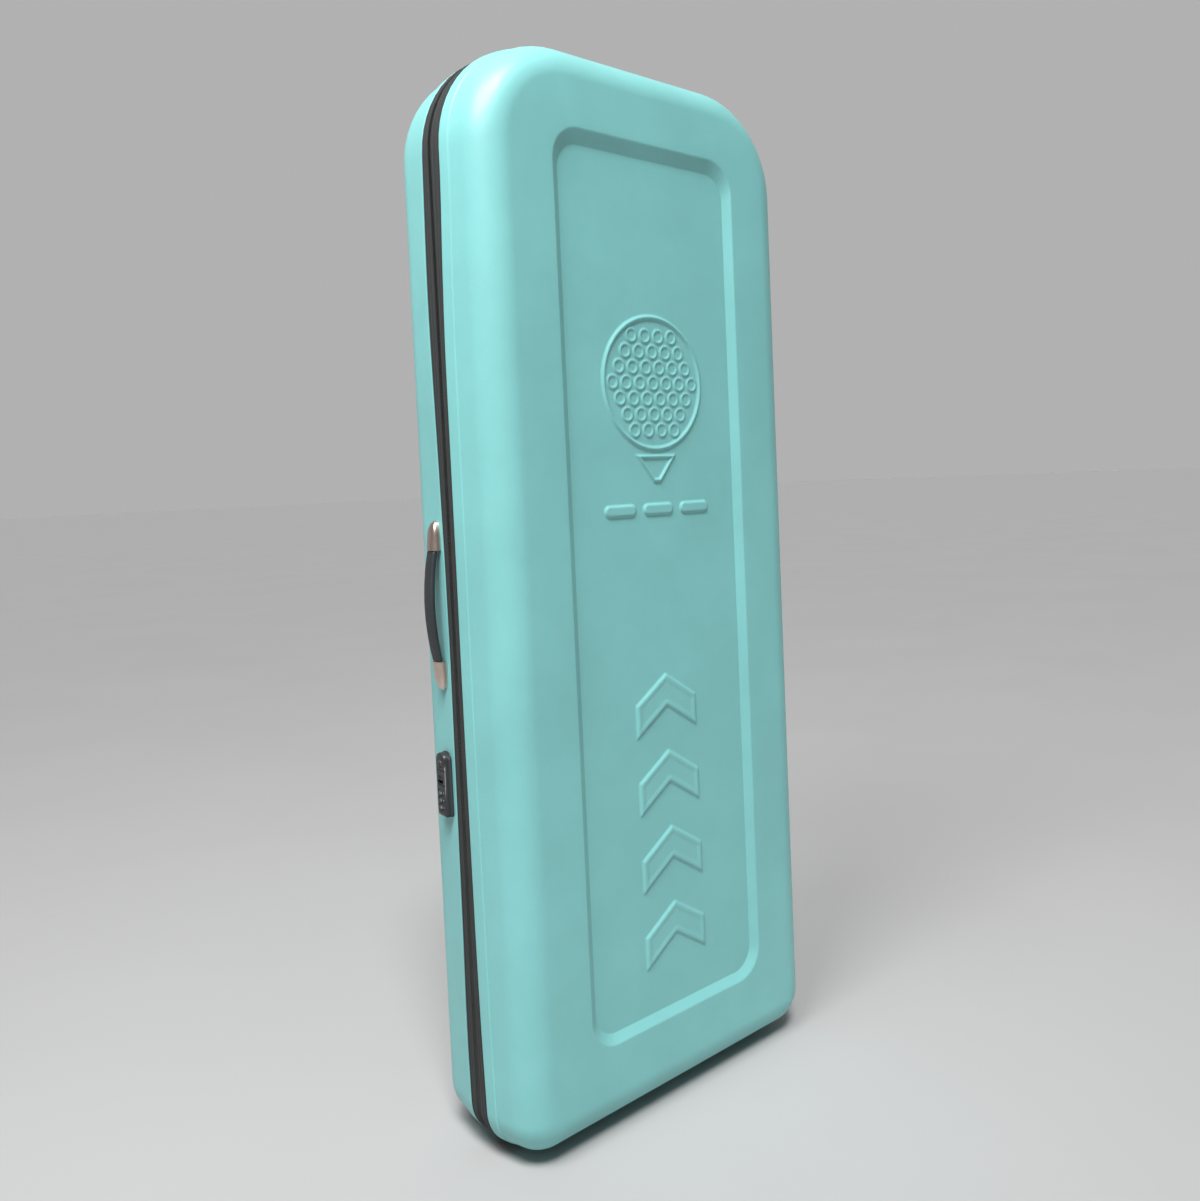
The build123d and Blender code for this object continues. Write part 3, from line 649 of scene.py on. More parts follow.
looks = {
    "shell": shell_look(),
    "zip_tape": woven_look("tape_weave", (0.017, 0.018, 0.019), 0.0011, path=True, sheen=0.05),
    "zip_coil": plastic_look("coil_nylon", (0.030, 0.034, 0.031), 0.45),
    "thread": plastic_look("stitch_thread", (0.075, 0.078, 0.08), 0.6, 2500),
    "slider_metal": plastic_look("slider_paint", (0.035, 0.036, 0.038), 0.32, 600, 0.00003),
    "lining": woven_look("lining_weave", (0.085, 0.095, 0.105), 0.0013),
    "foam_cover": woven_look("foam_knit", (0.11, 0.12, 0.13), 0.0021, depth=0.0004),
    "webbing": woven_look("webbing_weave", (0.022, 0.023, 0.026), 0.0024, depth=0.0004),
    "buckle_plastic": plastic_look("buckle_acetal", (0.018, 0.018, 0.020), 0.38),
    "grip_rubber": plastic_look("grip_soft_touch", (0.026, 0.031, 0.034), 0.55, 1500, 0.0001),
    "cap_metal": metal_look("cap_nickel", (0.70, 0.565, 0.49), 0.34, "Y"),
    "steel": metal_look("plated_steel", (0.56, 0.57, 0.58), 0.32),
    "lock_plastic": plastic_look("lock_abs", (0.028, 0.030, 0.033), 0.36, 1800, 0.00004),
    "dial_plastic": plastic_look("dial_acetal", (0.040, 0.042, 0.045), 0.35),
    "numeral": plastic_look("numeral_paint", (0.48, 0.48, 0.47), 0.5),
    "lock_metal": metal_look("dark_zinc", (0.16, 0.16, 0.17), 0.3, "Y"),
    "housing_plastic": plastic_look("housing_polypropylene", (0.024, 0.026, 0.028), 0.5, 900, 0.00012),
    "hub_plastic": plastic_look("hub_nylon", (0.055, 0.058, 0.060), 0.45),
    "tyre_rubber": plastic_look("tread_urethane", (0.024, 0.024, 0.026), 0.62, 800, 0.0001),
    "foot_rubber": plastic_look("foot_moulded_rubber", (0.026, 0.027, 0.029), 0.66, 800, 0.0001),
}


def dress(obj, slot_name, body, replaced=(), look=None):
    """Give a piece its material and the body that it rides on."""
    if not obj.data.materials:
        obj.data.materials.append(looks[look or slot_name])
    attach(obj, body)
    if replaced:
        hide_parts(*replaced)
    return obj


# ---------------------------------------------------------------------------
# Shells
# ---------------------------------------------------------------------------
def make_shell(half):
    shell, edge = shell_mesh(half)
    tidy_normals(shell)
    floor = panel_floor(half, edge, figures=half == "front")
    if half == "rear":
        for side in ("left", "right"):
            low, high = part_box(f"wheel_housing_{side}")
            ease = Vector((0.0002, 0.0002, 0.0002))
            far = Vector((high.x, high.y + 0.03, high.z))
            cutter = slab("cutter", Vector((low.x, low.y, -0.01)) - ease, far + ease)
            cut = shell.modifiers.new("cut", "BOOLEAN")
            cut.operation = "DIFFERENCE"
            cut.solver = "EXACT"
            cut.object = cutter
            apply_modifiers(shell)
            bpy.data.objects.remove(cutter)
    sharpen(shell, 50)
    dress(shell, "shell", BODY[half], [f"{half}_shell"])
    dress(floor, "shell", BODY[half])


for half in ("front", "rear"):
    make_shell(half)


# ---------------------------------------------------------------------------
# Zip band: tape, stitches and coils
# ---------------------------------------------------------------------------
def path_uv(obj, count, across):
    """Coordinates along and across a band made by loft(), in metres, for its weave."""
    layer = obj.data.uv_layers.new(name="path")
    co = [v.co for v in obj.data.vertices]
    along = [0.0]
    for k in range(count):
        along.append(along[-1] + (co[(k + 1) % count] - co[k]).length)
    for face in obj.data.polygons:
        wraps = any(obj.data.loops[i].vertex_index % count == count - 1 for i in face.loop_indices)
        for i in face.loop_indices:
            v = obj.data.loops[i].vertex_index
            k = v % count
            u = along[count] if wraps and k == 0 else along[k]
            layer.data[i].uv = (u, across[v // count])
    return obj


def band_loop(name, half, section):
    """A band round the case whose closed section is a list of (inset, depth)."""
    rings = [ring_at(half, outline(inset), depth) for inset, depth in section]
    obj = loft(name, rings, close_path=True)
    across = [0.0]
    for (i0, d0), (i1, d1) in zip(section, section[1:]):
        across.append(across[-1] + hypot(i1 - i0, d1 - d0))
    return path_uv(obj, len(rings[0]), across)


def walk(inset, spacing, keep=lambda x, z: True):
    """Points and headings at even spacing round the outline."""
    loop = [Vector(p) for p in outline(inset)]
    loop.append(loop[0])
    found, carry = [], 0.0
    for a, b in zip(loop, loop[1:]):
        span = (b - a).length
        heading = (b - a) / span
        at = spacing - carry
        while at <= span:
            p = a + heading * at
            if keep(p.x, p.y):
                found.append((p, heading))
            at += spacing
        carry = (carry + span) % spacing
    return found


def along_band(name, half, inset, depth_of, spacing, shape, keep=lambda x, z: True):
    """Small pieces laid round the band; shape is (along, depth, out) points in rings of a prism."""
    verts, faces = [], []
    rings, size = shape
    for number, (spot, heading) in enumerate(walk(inset, spacing, keep)):
        outward = Vector((heading.y, -heading.x))
        start = len(verts)
        for along, depth, out in rings:
            p = spot + heading * along + outward * out
            reach = depth_of + depth
            verts.append(Vector((p.x, SIDE[half] * (reach + slack(half, reach, p.y)), p.y)))
        faces += tube_faces(start, size, len(rings) // size)
    return tidy_normals(mesh_object(name, verts, faces))


ZIP_END_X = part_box("zip_coil_front")[1].x
coil_side = lambda x, z: x < ZIP_END_X


def bar_shape(length, half_width, height, size=8, taper=0.72):
    """A short rounded bar: its points and the number in each ring."""
    points = []
    for spot, scale in ((-0.5, taper), (-0.3, 1), (0.3, 1), (0.5, taper)):
        for k in range(size):
            a = 2 * pi * k / size
            points.append((half_width * scale * cos(a), spot * length, height * scale * sin(a)))
    return points, size


def stitch_shape(length, thick, size=6):
    """A short stitch that dives into the cloth at both ends."""
    points = []
    for spot, lift, scale in ((-0.5, -0.6, 0.7), (-0.25, 0.5, 1), (0.25, 0.5, 1), (0.5, -0.6, 0.7)):
        for k in range(size):
            a = 2 * pi * k / size
            points.append(
                (spot * length, thick * scale * cos(a) * 0.5, thick * (lift + scale * sin(a)) * 0.5)
            )
    return points, size


def thread_run(name, spots, body):
    """Closed little stitches; each spot is (start, end, direction out of the cloth)."""
    verts, faces = [], []
    size, radius = 6, 0.28 * MM
    for a, b, out in spots:
        across = (b - a).normalized().cross(out)
        start = len(verts)
        for t, lift in ((0, -0.3 * MM), (0.2, 0.12 * MM), (0.8, 0.12 * MM), (1, -0.3 * MM)):
            middle = a.lerp(b, t) + out * lift
            for k in range(size):
                turn = 2 * pi * k / size
                verts.append(middle + across * radius * cos(turn) + out * radius * 0.8 * sin(turn))
        faces += tube_faces(start, size, 4)
    run = tidy_normals(mesh_object(name, verts, faces))
    return dress(run, "lining", body, look="thread")


def make_band(half):
    body = BODY[half]
    sunk = 0.9 * MM
    edge, inner = BAND - 0.25 * MM, 2.95 * MM
    # the tape's outer face is slightly crowned, with a piped roll beside the shell
    section = [(sunk + 0.5 * MM, edge), (sunk - 0.45 * MM, edge - 0.6 * MM)]
    section.append((sunk - 0.75 * MM, edge - 1.4 * MM))
    section += [(sunk - 0.4 * MM, edge - 2.2 * MM), (sunk + 0.1 * MM, edge - 2.7 * MM)]
    for t in (0.15, 0.3, 0.5, 0.7, 0.85):
        span = (edge - 3 * MM) - (inner + 0.9 * MM)
        section.append((sunk - 0.25 * MM * sin(pi * t), edge - 3 * MM - span * t))
    section += [(sunk - 0.05 * MM, inner + 0.9 * MM), (sunk - 0.35 * MM, inner + 0.35 * MM)]
    section += [(sunk, inner), (sunk + 1.0 * MM, inner), (sunk + 1.4 * MM, inner + 0.5 * MM)]
    section += [(sunk + 1.4 * MM, edge - 1.9 * MM), (4.4 * MM, edge - 1.4 * MM)]
    section += [(4.4 * MM, BAND + 4.8 * MM), (5.4 * MM, BAND + 4.8 * MM)]
    section += [(5.4 * MM, edge - 1.2 * MM), (4.6 * MM, edge - 0.2 * MM)]
    tape = band_loop(f"zip_tape_{half}_cloth", half, section)
    dress(sharpen(tidy_normals(tape, merge=False), 60), "zip_tape", body, [f"zip_tape_{half}"])
    coil = along_band(
        f"zip_teeth_{half}", half, 1.5 * MM, 1.35 * MM, 2.3 * MM,
        bar_shape(2.9 * MM, 0.72 * MM, 1.25 * MM), coil_side,
    )
    dress(sharpen(coil, 60), "zip_coil", body, [f"zip_coil_{half}"])
    for row, depth in (("outer", edge - 3.6 * MM), ("inner", inner + 2.2 * MM)):
        seam = along_band(
            f"band_stitches_{half}_{row}", half, sunk - 0.28 * MM, depth, 3.1 * MM,
            stitch_shape(2.4 * MM, 0.42 * MM),
        )
        dress(seam, "zip_tape", body, look="thread")


for half in ("front", "rear"):
    make_band(half)


# ---------------------------------------------------------------------------
# Planes on the rear shell that carry the handles and the lock
# ---------------------------------------------------------------------------
LEAN = DRAFT["rear"]


class Wall:
    """A place on the rear shell: u along the handle, v to the rear, w out of the wall."""

    def __init__(self, origin, along, out):
        self.origin, self.u, self.w = Vector(origin), Vector(along), Vector(out).normalized()
        self.v = self.w.cross(self.u)

    def __call__(self, u, v, w):
        return self.origin + self.u * u + self.v * v + self.w * w


def wall_inset(depth):
    """How far the rear shell's side has come in at this depth."""
    return (depth - BAND) * tan(LEAN)


OUT_LEFT = (-cos(LEAN), sin(LEAN), 0)
OUT_TOP = (0, sin(LEAN), cos(LEAN))
plate_low, plate_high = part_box("side_backplate")
SIDE_Z = (plate_low.z + plate_high.z) / 2
HANDLE_DEPTH, TOW_DEPTH, LOCK_DEPTH = 28 * MM, 46 * MM, 31 * MM
lock_low, lock_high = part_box("lock_housing")
LOCK_Z = (lock_low.z + lock_high.z) / 2
side_wall = Wall((-HALF_WIDTH + wall_inset(HANDLE_DEPTH), HANDLE_DEPTH, SIDE_Z), (0, 0, 1), OUT_LEFT)
tow_wall = Wall((0, TOW_DEPTH, CASE_HIGH - wall_inset(TOW_DEPTH)), (1, 0, 0), OUT_TOP)
lock_wall = Wall((-HALF_WIDTH + wall_inset(LOCK_DEPTH), LOCK_DEPTH, LOCK_Z), (0, 0, 1), OUT_LEFT)

GRIP_HALF, GRIP_END, GRIP_MID = 64 * MM, 6.2 * MM, 12.9 * MM
GRIP_THICK, GRIP_WIDTH = 7.6 * MM, 19.5 * MM
CAP_REACH, CAP_WIDTH, CAP_HEIGHT = 99 * MM, 21 * MM, 11 * MM
CORE_HALF, CORE_SECTION = 76 * MM, (5 * MM, 0.45 * MM)
BOW_RADIUS = (GRIP_HALF**2 + (GRIP_MID - GRIP_END) ** 2) / (2 * (GRIP_MID - GRIP_END))


def bow(u):
    """Height of a handle's centre line at this distance from its middle."""
    return GRIP_MID - BOW_RADIUS + sqrt(BOW_RADIUS**2 - u**2)


def super_section(half_w, half_t, steps=28, power=3.2):
    """A rounded-rectangle section as a superellipse."""
    points = []
    for k in range(steps):
        a = 2 * pi * k / steps
        c, s = cos(a), sin(a)
        wide = half_w * abs(c) ** (2 / power) * (1 if c >= 0 else -1)
        points.append((wide, half_t * abs(s) ** (2 / power) * (1 if s >= 0 else -1)))
    return points


def make_grip(wall, name, body):
    """The rubber grip: bowed, slightly swollen, with a groove near each end."""
    rings = []
    stations = 72
    for k in range(stations + 1):
        t = -1 + 2 * k / stations
        u = t * (GRIP_HALF - 0.2 * MM)
        end = min(1.0, (1 - abs(t)) * GRIP_HALF / (1.6 * MM))
        swell = 0.93 + 0.07 * cos(t * pi / 2)
        groove = 1 - 0.045 * max(0.0, 1 - abs(abs(t) - 0.9) / 0.018)
        scale = swell * groove * (0.86 + 0.14 * sqrt(end))
        slope = -u / sqrt(BOW_RADIUS**2 - u**2)
        tangent = Vector((1, slope)).normalized()
        ring = []
        for v, w in super_section(GRIP_WIDTH / 2 * scale, GRIP_THICK / 2 * scale):
            ring.append(wall(u - tangent.y * w, v, bow(u) + tangent.x * w))
        rings.append(ring)
    grip = tidy_normals(loft(f"{name}_grip_rubber", rings, caps=True))
    dress(sharpen(grip, 45), "grip_rubber", body, [f"{name}_grip"])


def make_cap(wall, name, end, which):
    """A hollow satin metal cap: broad at the grip, tapering to a rounded nose on the shell."""
    near = GRIP_HALF + 0.4 * MM
    rings = []
    stations = 26
    for k in range(stations + 1):
        t = k / stations
        u = near + (CAP_REACH - near) * (1 - (1 - t) ** 1.35)
        along = (u - near) / (CAP_REACH - near)
        narrowing = sqrt(max(0.0, 1 - max(0, (along - 0.35) / 0.65) ** 2.2))
        falling = sqrt(max(0.0, 1 - max(0, (along - 0.5) / 0.5) ** 2.4))
        half_w = CAP_WIDTH / 2 * narrowing + 0.02 * MM
        height = CAP_HEIGHT * (1 - 0.30 * along) * falling
        height = max(height, 0.25 * MM)
        ring = []
        steps = 24
        for j in range(steps + 1):
            a = pi * j / steps
            c, s = cos(a), sin(a)
            v = half_w * abs(c) ** 0.62 * (1 if c >= 0 else -1)
            w = height * abs(s) ** 0.55
            ring.append(wall(end * u, v, max(w, 0.02 * MM)))
        rings.append(ring)
    outer = loft("cap", rings, caps=False)
    with editing(outer) as bm:
        ends = {0, steps}
        wrap = [f for f in bm.faces if len({v.index % (steps + 1) for v in f.verts} & ends) == 2]
        bmesh.ops.delete(bm, geom=wrap, context="FACES_ONLY")
    solid = outer.modifiers.new("wall", "SOLIDIFY")
    solid.thickness = 1.1 * MM
    solid.offset = -1
    tidy_normals(outer, merge=False)
    apply_modifiers(outer)
    outer.name = f"{name}_cap_{which}_metal"
    dress(sharpen(outer, 40), "cap_metal", "base", [f"{name}_cap_{which}"])


def make_core(wall, name, body):
    """The spring-steel strip inside the grip; its ends slide in the caps."""
    rings = []
    for k in range(77):
        u = CORE_HALF * (k / 38 - 1)
        rings.append([wall(u, v, bow(u) + w) for v, w in super_section(*CORE_SECTION, 16, 4)])
    core = tidy_normals(loft(f"{name}_core_strip", rings, caps=True))
    dress(sharpen(core, 40), "steel", body, [f"{name}_core"])


for wall, name, body in ((side_wall, "side", "side_handle"), (tow_wall, "tow", "tow_handle")):
    make_grip(wall, name, body)
    make_core(wall, name, body)
    for end, which in ((-1, "a"), (1, "b")):
        make_cap(wall, name, end, which)


# ---------------------------------------------------------------------------
# Combination lock on the left side
# ---------------------------------------------------------------------------
LOCK_HALF, LOCK_WIDE = 37.5 * MM, 11.5 * MM
DIAL_R, DIAL_AXIS, SHAFT_R = 6.2 * MM, 5.2 * MM, 1.56 * MM
KEY_AT, KEY_R = 25.5 * MM, 4.2 * MM
# in millimetres, as tiers() and pill() take them: places up the lock from its middle, and
# a height that is clear of the whole cover
DIAL_SPOTS = (-26, -17.5, -9)
RELEASE_AT, RELEASE_HALF = 10.1, 4.3
CUT_TOP = 12


def subtract(obj, cutters):
    """Cut other objects out of one."""
    for cutter in cutters:
        mod = obj.modifiers.new("cut", "BOOLEAN")
        mod.operation, mod.solver, mod.object = "DIFFERENCE", "EXACT", cutter
    apply_modifiers(obj)
    for cutter in cutters:
        bpy.data.objects.remove(cutter)
    return obj


def raised_block(name, place, rings):
    """A block on a wall through rounded outlines, each (outline, height)."""
    return tidy_normals(loft(name, [[place(u, v, w) for u, v in pts] for pts, w in rings], caps=True))


def tiers(place, rows, cu=0, cv=0, steps=6, name="part"):
    """A block in millimetres: rows of (half length, half width, corner radius, height)."""
    rings = []
    for a, b, r, w in rows:
        rings.append((rounded(a * MM, b * MM, r * MM, steps, cu * MM, cv * MM), w * MM))
    return raised_block(name, place, rings)


def pill(place, half_u, half_v, r, heights, cu=0, cv=0, steps=6, name="part"):
    """A straight-sided block in millimetres, between two heights."""
    return tiers(place, [(half_u, half_v, r, w) for w in heights], cu, cv, steps, name)


def lock_section(inset):
    """The lock's outline: square corners at the foot, a domed upper end."""
    q = [max(r * MM - inset, 0.4 * MM) for r in (9, 4, 4, 9)]
    return rounded(LOCK_HALF - inset, LOCK_WIDE - inset, q, 8)


def make_lock():
    levels = [(0, -0.2), (0, 6.2), (0.25, 7.6), (0.9, 8.9), (1.7, 9.6), (2.8, 10.0)]
    rings = [(lock_section(inset * MM), w * MM) for inset, w in levels]
    body = raised_block("lock_body", lock_wall, rings)
    cutters = [pill(lock_wall, 3.05, 6.8, 0.8, (-1.6, CUT_TOP), u, steps=3) for u in DIAL_SPOTS]
    cutters.append(pill(lock_wall, 6.5, 6.5, 1.0, (4.5, CUT_TOP), 8.1, steps=3))
    pts = arc(KEY_AT, 0, KEY_R + 0.05 * MM, 0, 360 - 360 / 40, 39)
    cutters.append(raised_block("c", lock_wall, [(pts, -2.2 * MM), (pts, CUT_TOP * MM)]))
    # shadow lines between the dial, button and key parts of the cover
    cutters += [pill(lock_wall, 0.45, 14, 0.2, (8.9, CUT_TOP), u, steps=2) for u in (0.2, 17.6)]
    bevelled(subtract(body, cutters), 0.28 * MM, 2, 38)
    plug = pill(lock_wall, 31, 8, 3, (-3.6, -1.7))
    # a seal lip round the foot of the cover
    lip = [(0.0, 0.0), (-0.7, 0.15), (-0.9, 0.8), (-0.55, 1.5), (0.1, 1.7)]
    seal = raised_block("seal", lock_wall, [(lock_section(i * MM), w * MM) for i, w in lip])
    dress(join("lock_cover", [body, plug, seal]), "lock_plastic", "base", ["lock_housing"])
    for number, spot in enumerate(DIAL_SPOTS, 1):
        make_dial(number, spot * MM)

    levels = [(0.0, 4.7), (0.0, 9.4), (0.3, 10.4), (1.0, 10.9), (1.8, 10.7), (3.0, 10.4)]
    parts = [tiers(lock_wall, [(RELEASE_HALF - i, 6.2 - i, 1, w) for i, w in levels], RELEASE_AT, steps=4)]
    ridge = [(0.45, 4.4, 0.15, 10.2), (0.4, 4.3, 0.15, 11.0), (0.2, 4.0, 0.15, 11.3)]
    parts += [tiers(lock_wall, ridge, RELEASE_AT + u, steps=2) for u in (-2.1, -0.7, 0.7, 2.1)]
    button = bevelled(join("lock_button", parts), 0.2 * MM, 2, 40)
    dress(button, "lock_plastic", "lock_release", ["lock_release"])

    place = lambda x, y, a: lock_wall(KEY_AT + x, y, a)
    profile = [(0, 10), (3.1, 10), (3.4, 10.1), (3.7, 10.45)]
    profile += [(4.1, 10.5), (4.2, 10.2), (4.2, -2), (0, -2)]
    core = turned("core", [(r * MM, a * MM) for r, a in profile], place, 56, closed=False)
    slot = pill(place, 2.6, 0.55, 0.3, (7, CUT_TOP), steps=3)
    notch = pill(place, 0.8, 1.2, 0.3, (7, CUT_TOP), -1.6, steps=3)
    subtract(core, [slot, notch])
    dress(sharpen(core, 30), "lock_metal", "lock_cylinder", ["lock_cylinder"])


SEGMENTS = {
    0: "abcdef", 1: "bc", 2: "abged", 3: "abgcd", 4: "fgbc",
    5: "afgcd", 6: "afgedc", 7: "abc", 8: "abcdefg", 9: "abcdfg",
}
STROKES = {
    "a": ((0, 1), (1, 1)), "b": ((1, 0.5), (1, 1)), "c": ((1, 0), (1, 0.5)), "d": ((0, 0), (1, 0)),
    "e": ((0, 0), (0, 0.5)), "f": ((0, 0.5), (0, 1)), "g": ((0, 0.5), (1, 0.5)),
}


def make_dial(number, spot):
    """A number wheel: ten flats with raised digits, and grooves between them."""
    steps = 120
    rings = []
    widths = [(-2.75, 0.5), (-2.3, 0.06), (-1.9, 0), (1.9, 0), (2.3, 0.06), (2.75, 0.5)]
    for across, drop in widths:
        ring = []
        for k in range(steps):
            a = 2 * pi * k / steps
            phase = (a * 10 / (2 * pi)) % 1
            groove = 0.55 * max(0.0, 1 - min(phase, 1 - phase) / 0.13)
            r = DIAL_R - (drop + groove) * MM
            ring.append(lock_wall(spot + across * MM, r * sin(a), DIAL_AXIS + r * cos(a)))
        rings.append(ring)
    bore = []
    for across in (2.75, -2.75):
        bore.append(
            [
                lock_wall(
                    spot + across * MM,
                    SHAFT_R * sin(2 * pi * k / steps),
                    DIAL_AXIS + SHAFT_R * cos(2 * pi * k / steps),
                )
                for k in range(steps)
            ]
        )
    wheel = tidy_normals(loft(f"dial_{number}_wheel", rings + bore, close_path=True))
    body = f"dial_{number}"
    dress(sharpen(wheel, 25), "dial_plastic", body, [body])
    tall, wide, stroke = 2.0 * MM, 1.3 * MM, 0.17 * MM
    verts, faces = [], []
    for digit in range(10):
        turn = 2 * pi * (digit + 0.5) / 10
        for name in SEGMENTS[digit]:
            (x0, y0), (x1, y1) = STROKES[name]
            a = Vector(((x0 - 0.5) * wide, (y0 - 0.5) * tall))
            b = Vector(((x1 - 0.5) * wide, (y1 - 0.5) * tall))
            heading = (b - a).normalized() * stroke
            side = Vector((-heading.y, heading.x))
            a, b = a - heading, b + heading
            faces += tube_faces(len(verts), 4, 2)
            for r in (DIAL_R - 0.2 * MM, DIAL_R + 0.07 * MM):
                for p in (a - side, b - side, b + side, a + side):
                    angle = turn - p.x / DIAL_R
                    verts.append(lock_wall(spot + p.y, r * sin(angle), DIAL_AXIS + r * cos(angle)))
    digits = tidy_normals(mesh_object(f"dial_{number}_digits", verts, faces, False), merge=False)
    dress(digits, "dial_plastic", body, look="numeral")


make_lock()


# ---------------------------------------------------------------------------
# Zip sliders and their pulls, on the top edge
# ---------------------------------------------------------------------------
def make_slider(side, name):
    low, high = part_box(f"slider_{name}")
    middle, top = (low.x + high.x) / 2, high.z - CHEEK_RISE
    foot = (low.z - top) / MM
    at = lambda u, v, w: Vector((middle + u, v, top + w))
    crown = [(7.5, 5.5, 2.2, -1.5), (7.5, 5.5, 2.2, -0.6), (7.1, 5.1, 2.0, -0.1), (6.0, 4.0, 1.6, 0)]
    under = [(7.0, 5.0, 2.0, foot), (7.5, 5.5, 2.0, foot + 0.4), (7.5, 5.5, 2.0, foot + 1.5)]
    parts = [tiers(at, crown), tiers(at, under)]
    cheek = [(2.5, 0.6, 0.3, -0.2), (2.5, 0.6, 0.3, 1.9), (1.6, 0.55, 0.3, 2.6), (0.7, 0.4, 0.3, 2.8)]
    for face in (-1, 1):
        # the plates' turned edges, which hold the coils in
        for heights in ((-2.3, -1.2), (foot + 1.3, foot + 2.1)):
            parts.append(pill(at, 5.2, 0.5, 0.4, heights, cv=5 * face, steps=3))
        parts.append(tiers(at, cheek, cv=3.2 * face, steps=3))
    parts.append(pill(at, 3.7, 0.25, 0.2, (foot + 1, -1), steps=3))
    about_pin = lambda x, y, a: Vector((middle + x, a, top + PIN_RISE + y))
    pin = [(0, -3.8), (0.7, -3.8), (0.7, 3.8), (0, 3.8)]
    parts.append(turned("pin", [(r * MM, a * MM) for r, a in pin], about_pin, 20, False))
    slider = bevelled(join(f"slider_{name}_body", parts), 0.25 * MM, 2, 35)
    dress(slider, "slider_metal", f"slider_{name}", [f"slider_{name}"])

    lie = lambda u, v, w: Vector((middle + side * u, v, top + PIN_RISE + w))
    edge = ((-0.8, 0.3), (-0.5, 0), (0.5, 0), (0.8, 0.3))
    tab = tiers(lie, [(14.5 - i, 4.5 - i, 4.2 - i, w) for w, i in edge], 21, steps=8)
    subtract(tab, [pill(lie, 3.2, 1.5, 1.4, (-2, 2), 30.5)])
    neck = pill(lie, 3.4, 2.0, 0.4, (-0.8, 0.8), 4.7, steps=3)
    ring = [(0.78, -2.2), (1.45, -2.2), (1.45, 2.2), (0.78, 2.2)]
    eye = turned("eye", [(r * MM, a * MM) for r, a in ring], about_pin, 28)
    ribs = [pill(lie, 0.55, 2.6, 0.4, (0.6, 1.05), 14 + 2.4 * k, steps=3) for k in range(5)]
    pull = bevelled(join(f"pull_{name}_tab", [tab, neck, eye] + ribs), 0.2 * MM, 2, 35)
    dress(pull, "slider_metal", f"pull_{name}", [f"pull_{name}"])


CHEEK_RISE, PIN_RISE = 2.8 * MM, 1.5 * MM
for side, name in ((-1, "left"), (1, "right")):
    make_slider(side, name)


# ---------------------------------------------------------------------------
# Wheels and feet
# ---------------------------------------------------------------------------
def make_wheel(name):
    low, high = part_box(f"tyre_{name}")
    centre = (low + high) / 2
    place = lambda x, y, a: Vector((centre.x + a, centre.y + x, centre.z + y))
    radius = (high.y - low.y) / 2
    half = (high.x - low.x) / 2
    steps, lugs = 216, 36
    section = [(-half, radius - 8 * MM), (-half, radius - 5.2 * MM)]
    section.append((-half + 0.5 * MM, radius - 3.2 * MM))
    section += [(-half + 1.6 * MM, radius - 1.5 * MM), (-half + 3.4 * MM, radius - 0.35 * MM)]
    section += [(-half + 5.0 * MM, radius), (-1.5 * MM, radius), (-1.1 * MM, radius - 1.1 * MM)]
    section += [(-a, r) for a, r in reversed(section)]
    rings = []
    for k in range(steps):
        angle = 2 * pi * k / steps
        groove = 0.8 * MM if k % (steps // lugs) == 0 else 0
        ring = []
        for a, r in section:
            shoulder = 2.2 * MM < abs(a) < half - 0.2 * MM
            rr = r - (groove if shoulder else 0)
            ring.append(place(rr * cos(angle), rr * sin(angle), a))
        rings.append(ring)
    tyre = tidy_normals(loft(f"tyre_{name}_tread", rings, close_path=True))
    dress(sharpen(tyre, 32), "tyre_rubber", f"wheel_{name}", [f"tyre_{name}"])

    rim = half - 1 * MM
    seat = rim - 7 * MM
    profile = [(17.0, rim), (16.4, rim), (15.8, rim - 0.9 * MM), (15.0, rim - 1.4 * MM)]
    profile += [(13.4, rim - 1.4 * MM), (12.6, rim - 0.8 * MM), (12.0, rim)]
    profile += [(11.0, rim), (11.0, seat), (6.0, seat)]
    profile = [(r * MM, a) for r, a in profile]
    profile += [(r, -a) for r, a in reversed(profile)]
    hub = turned("hub", profile, place, 96)
    pockets = []
    for k in range(9):
        turn = 2 * pi * k / 9
        u, v = 14.2 * MM * cos(turn), 14.2 * MM * sin(turn)
        for end in (-1, 1):
            pts = [(u + a, v + b) for a, b in arc(0, 0, 1.15 * MM, 0, 345, 15)]
            sunk = [(pts, end * (rim - 4.5 * MM)), (pts, end * (rim + 1 * MM))]
            pockets.append(raised_block("p", place, sunk))
    subtract(hub, pockets)
    hub.name = f"hub_{name}_core"
    dress(sharpen(hub, 30), "hub_plastic", f"wheel_{name}", [f"hub_{name}"])


def make_foot(name):
    low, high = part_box(f"foot_{name}")
    centre = (low + high) / 2
    half_u, half_v = (high.x - low.x) / 2, (high.y - low.y) / 2

    def place(u, v, w):
        """Height runs from the floor to the sloping shell."""
        y = centre.y + v
        top = CASE_LOW + (-y - BAND) * tan(DRAFT["front"]) + (1.9 if -y > 29 * MM else 0.9) * MM
        return Vector((centre.x + u, y, w if w < 7 * MM else top))

    levels = [(2.0, 0.0), (1.2, 0.15), (0.35, 0.9), (0.0, 1.8), (0.0, 5.0), (0.5, 6.0), (0.5, 7.5)]
    rings = []
    for i, w in levels:
        u, v = half_u - i * MM, half_v - i * MM
        rings.append((rounded(u, v, v - 0.1 * MM, 12), w * MM))
    foot = raised_block(f"foot_{name}_pad", place, rings)
    flat = lambda u, v, w: Vector((centre.x + u, centre.y + v, w))
    grooves = [pill(flat, 0.6, 7.4, 0.5, (-1, 1.3), 4.2 * k, steps=4) for k in range(-4, 5)]
    subtract(foot, grooves)
    dress(sharpen(foot, 35), "foot_rubber", "lid", [f"foot_{name}"])


for name in ("left", "right"):
    make_wheel(name)
    make_foot(name)


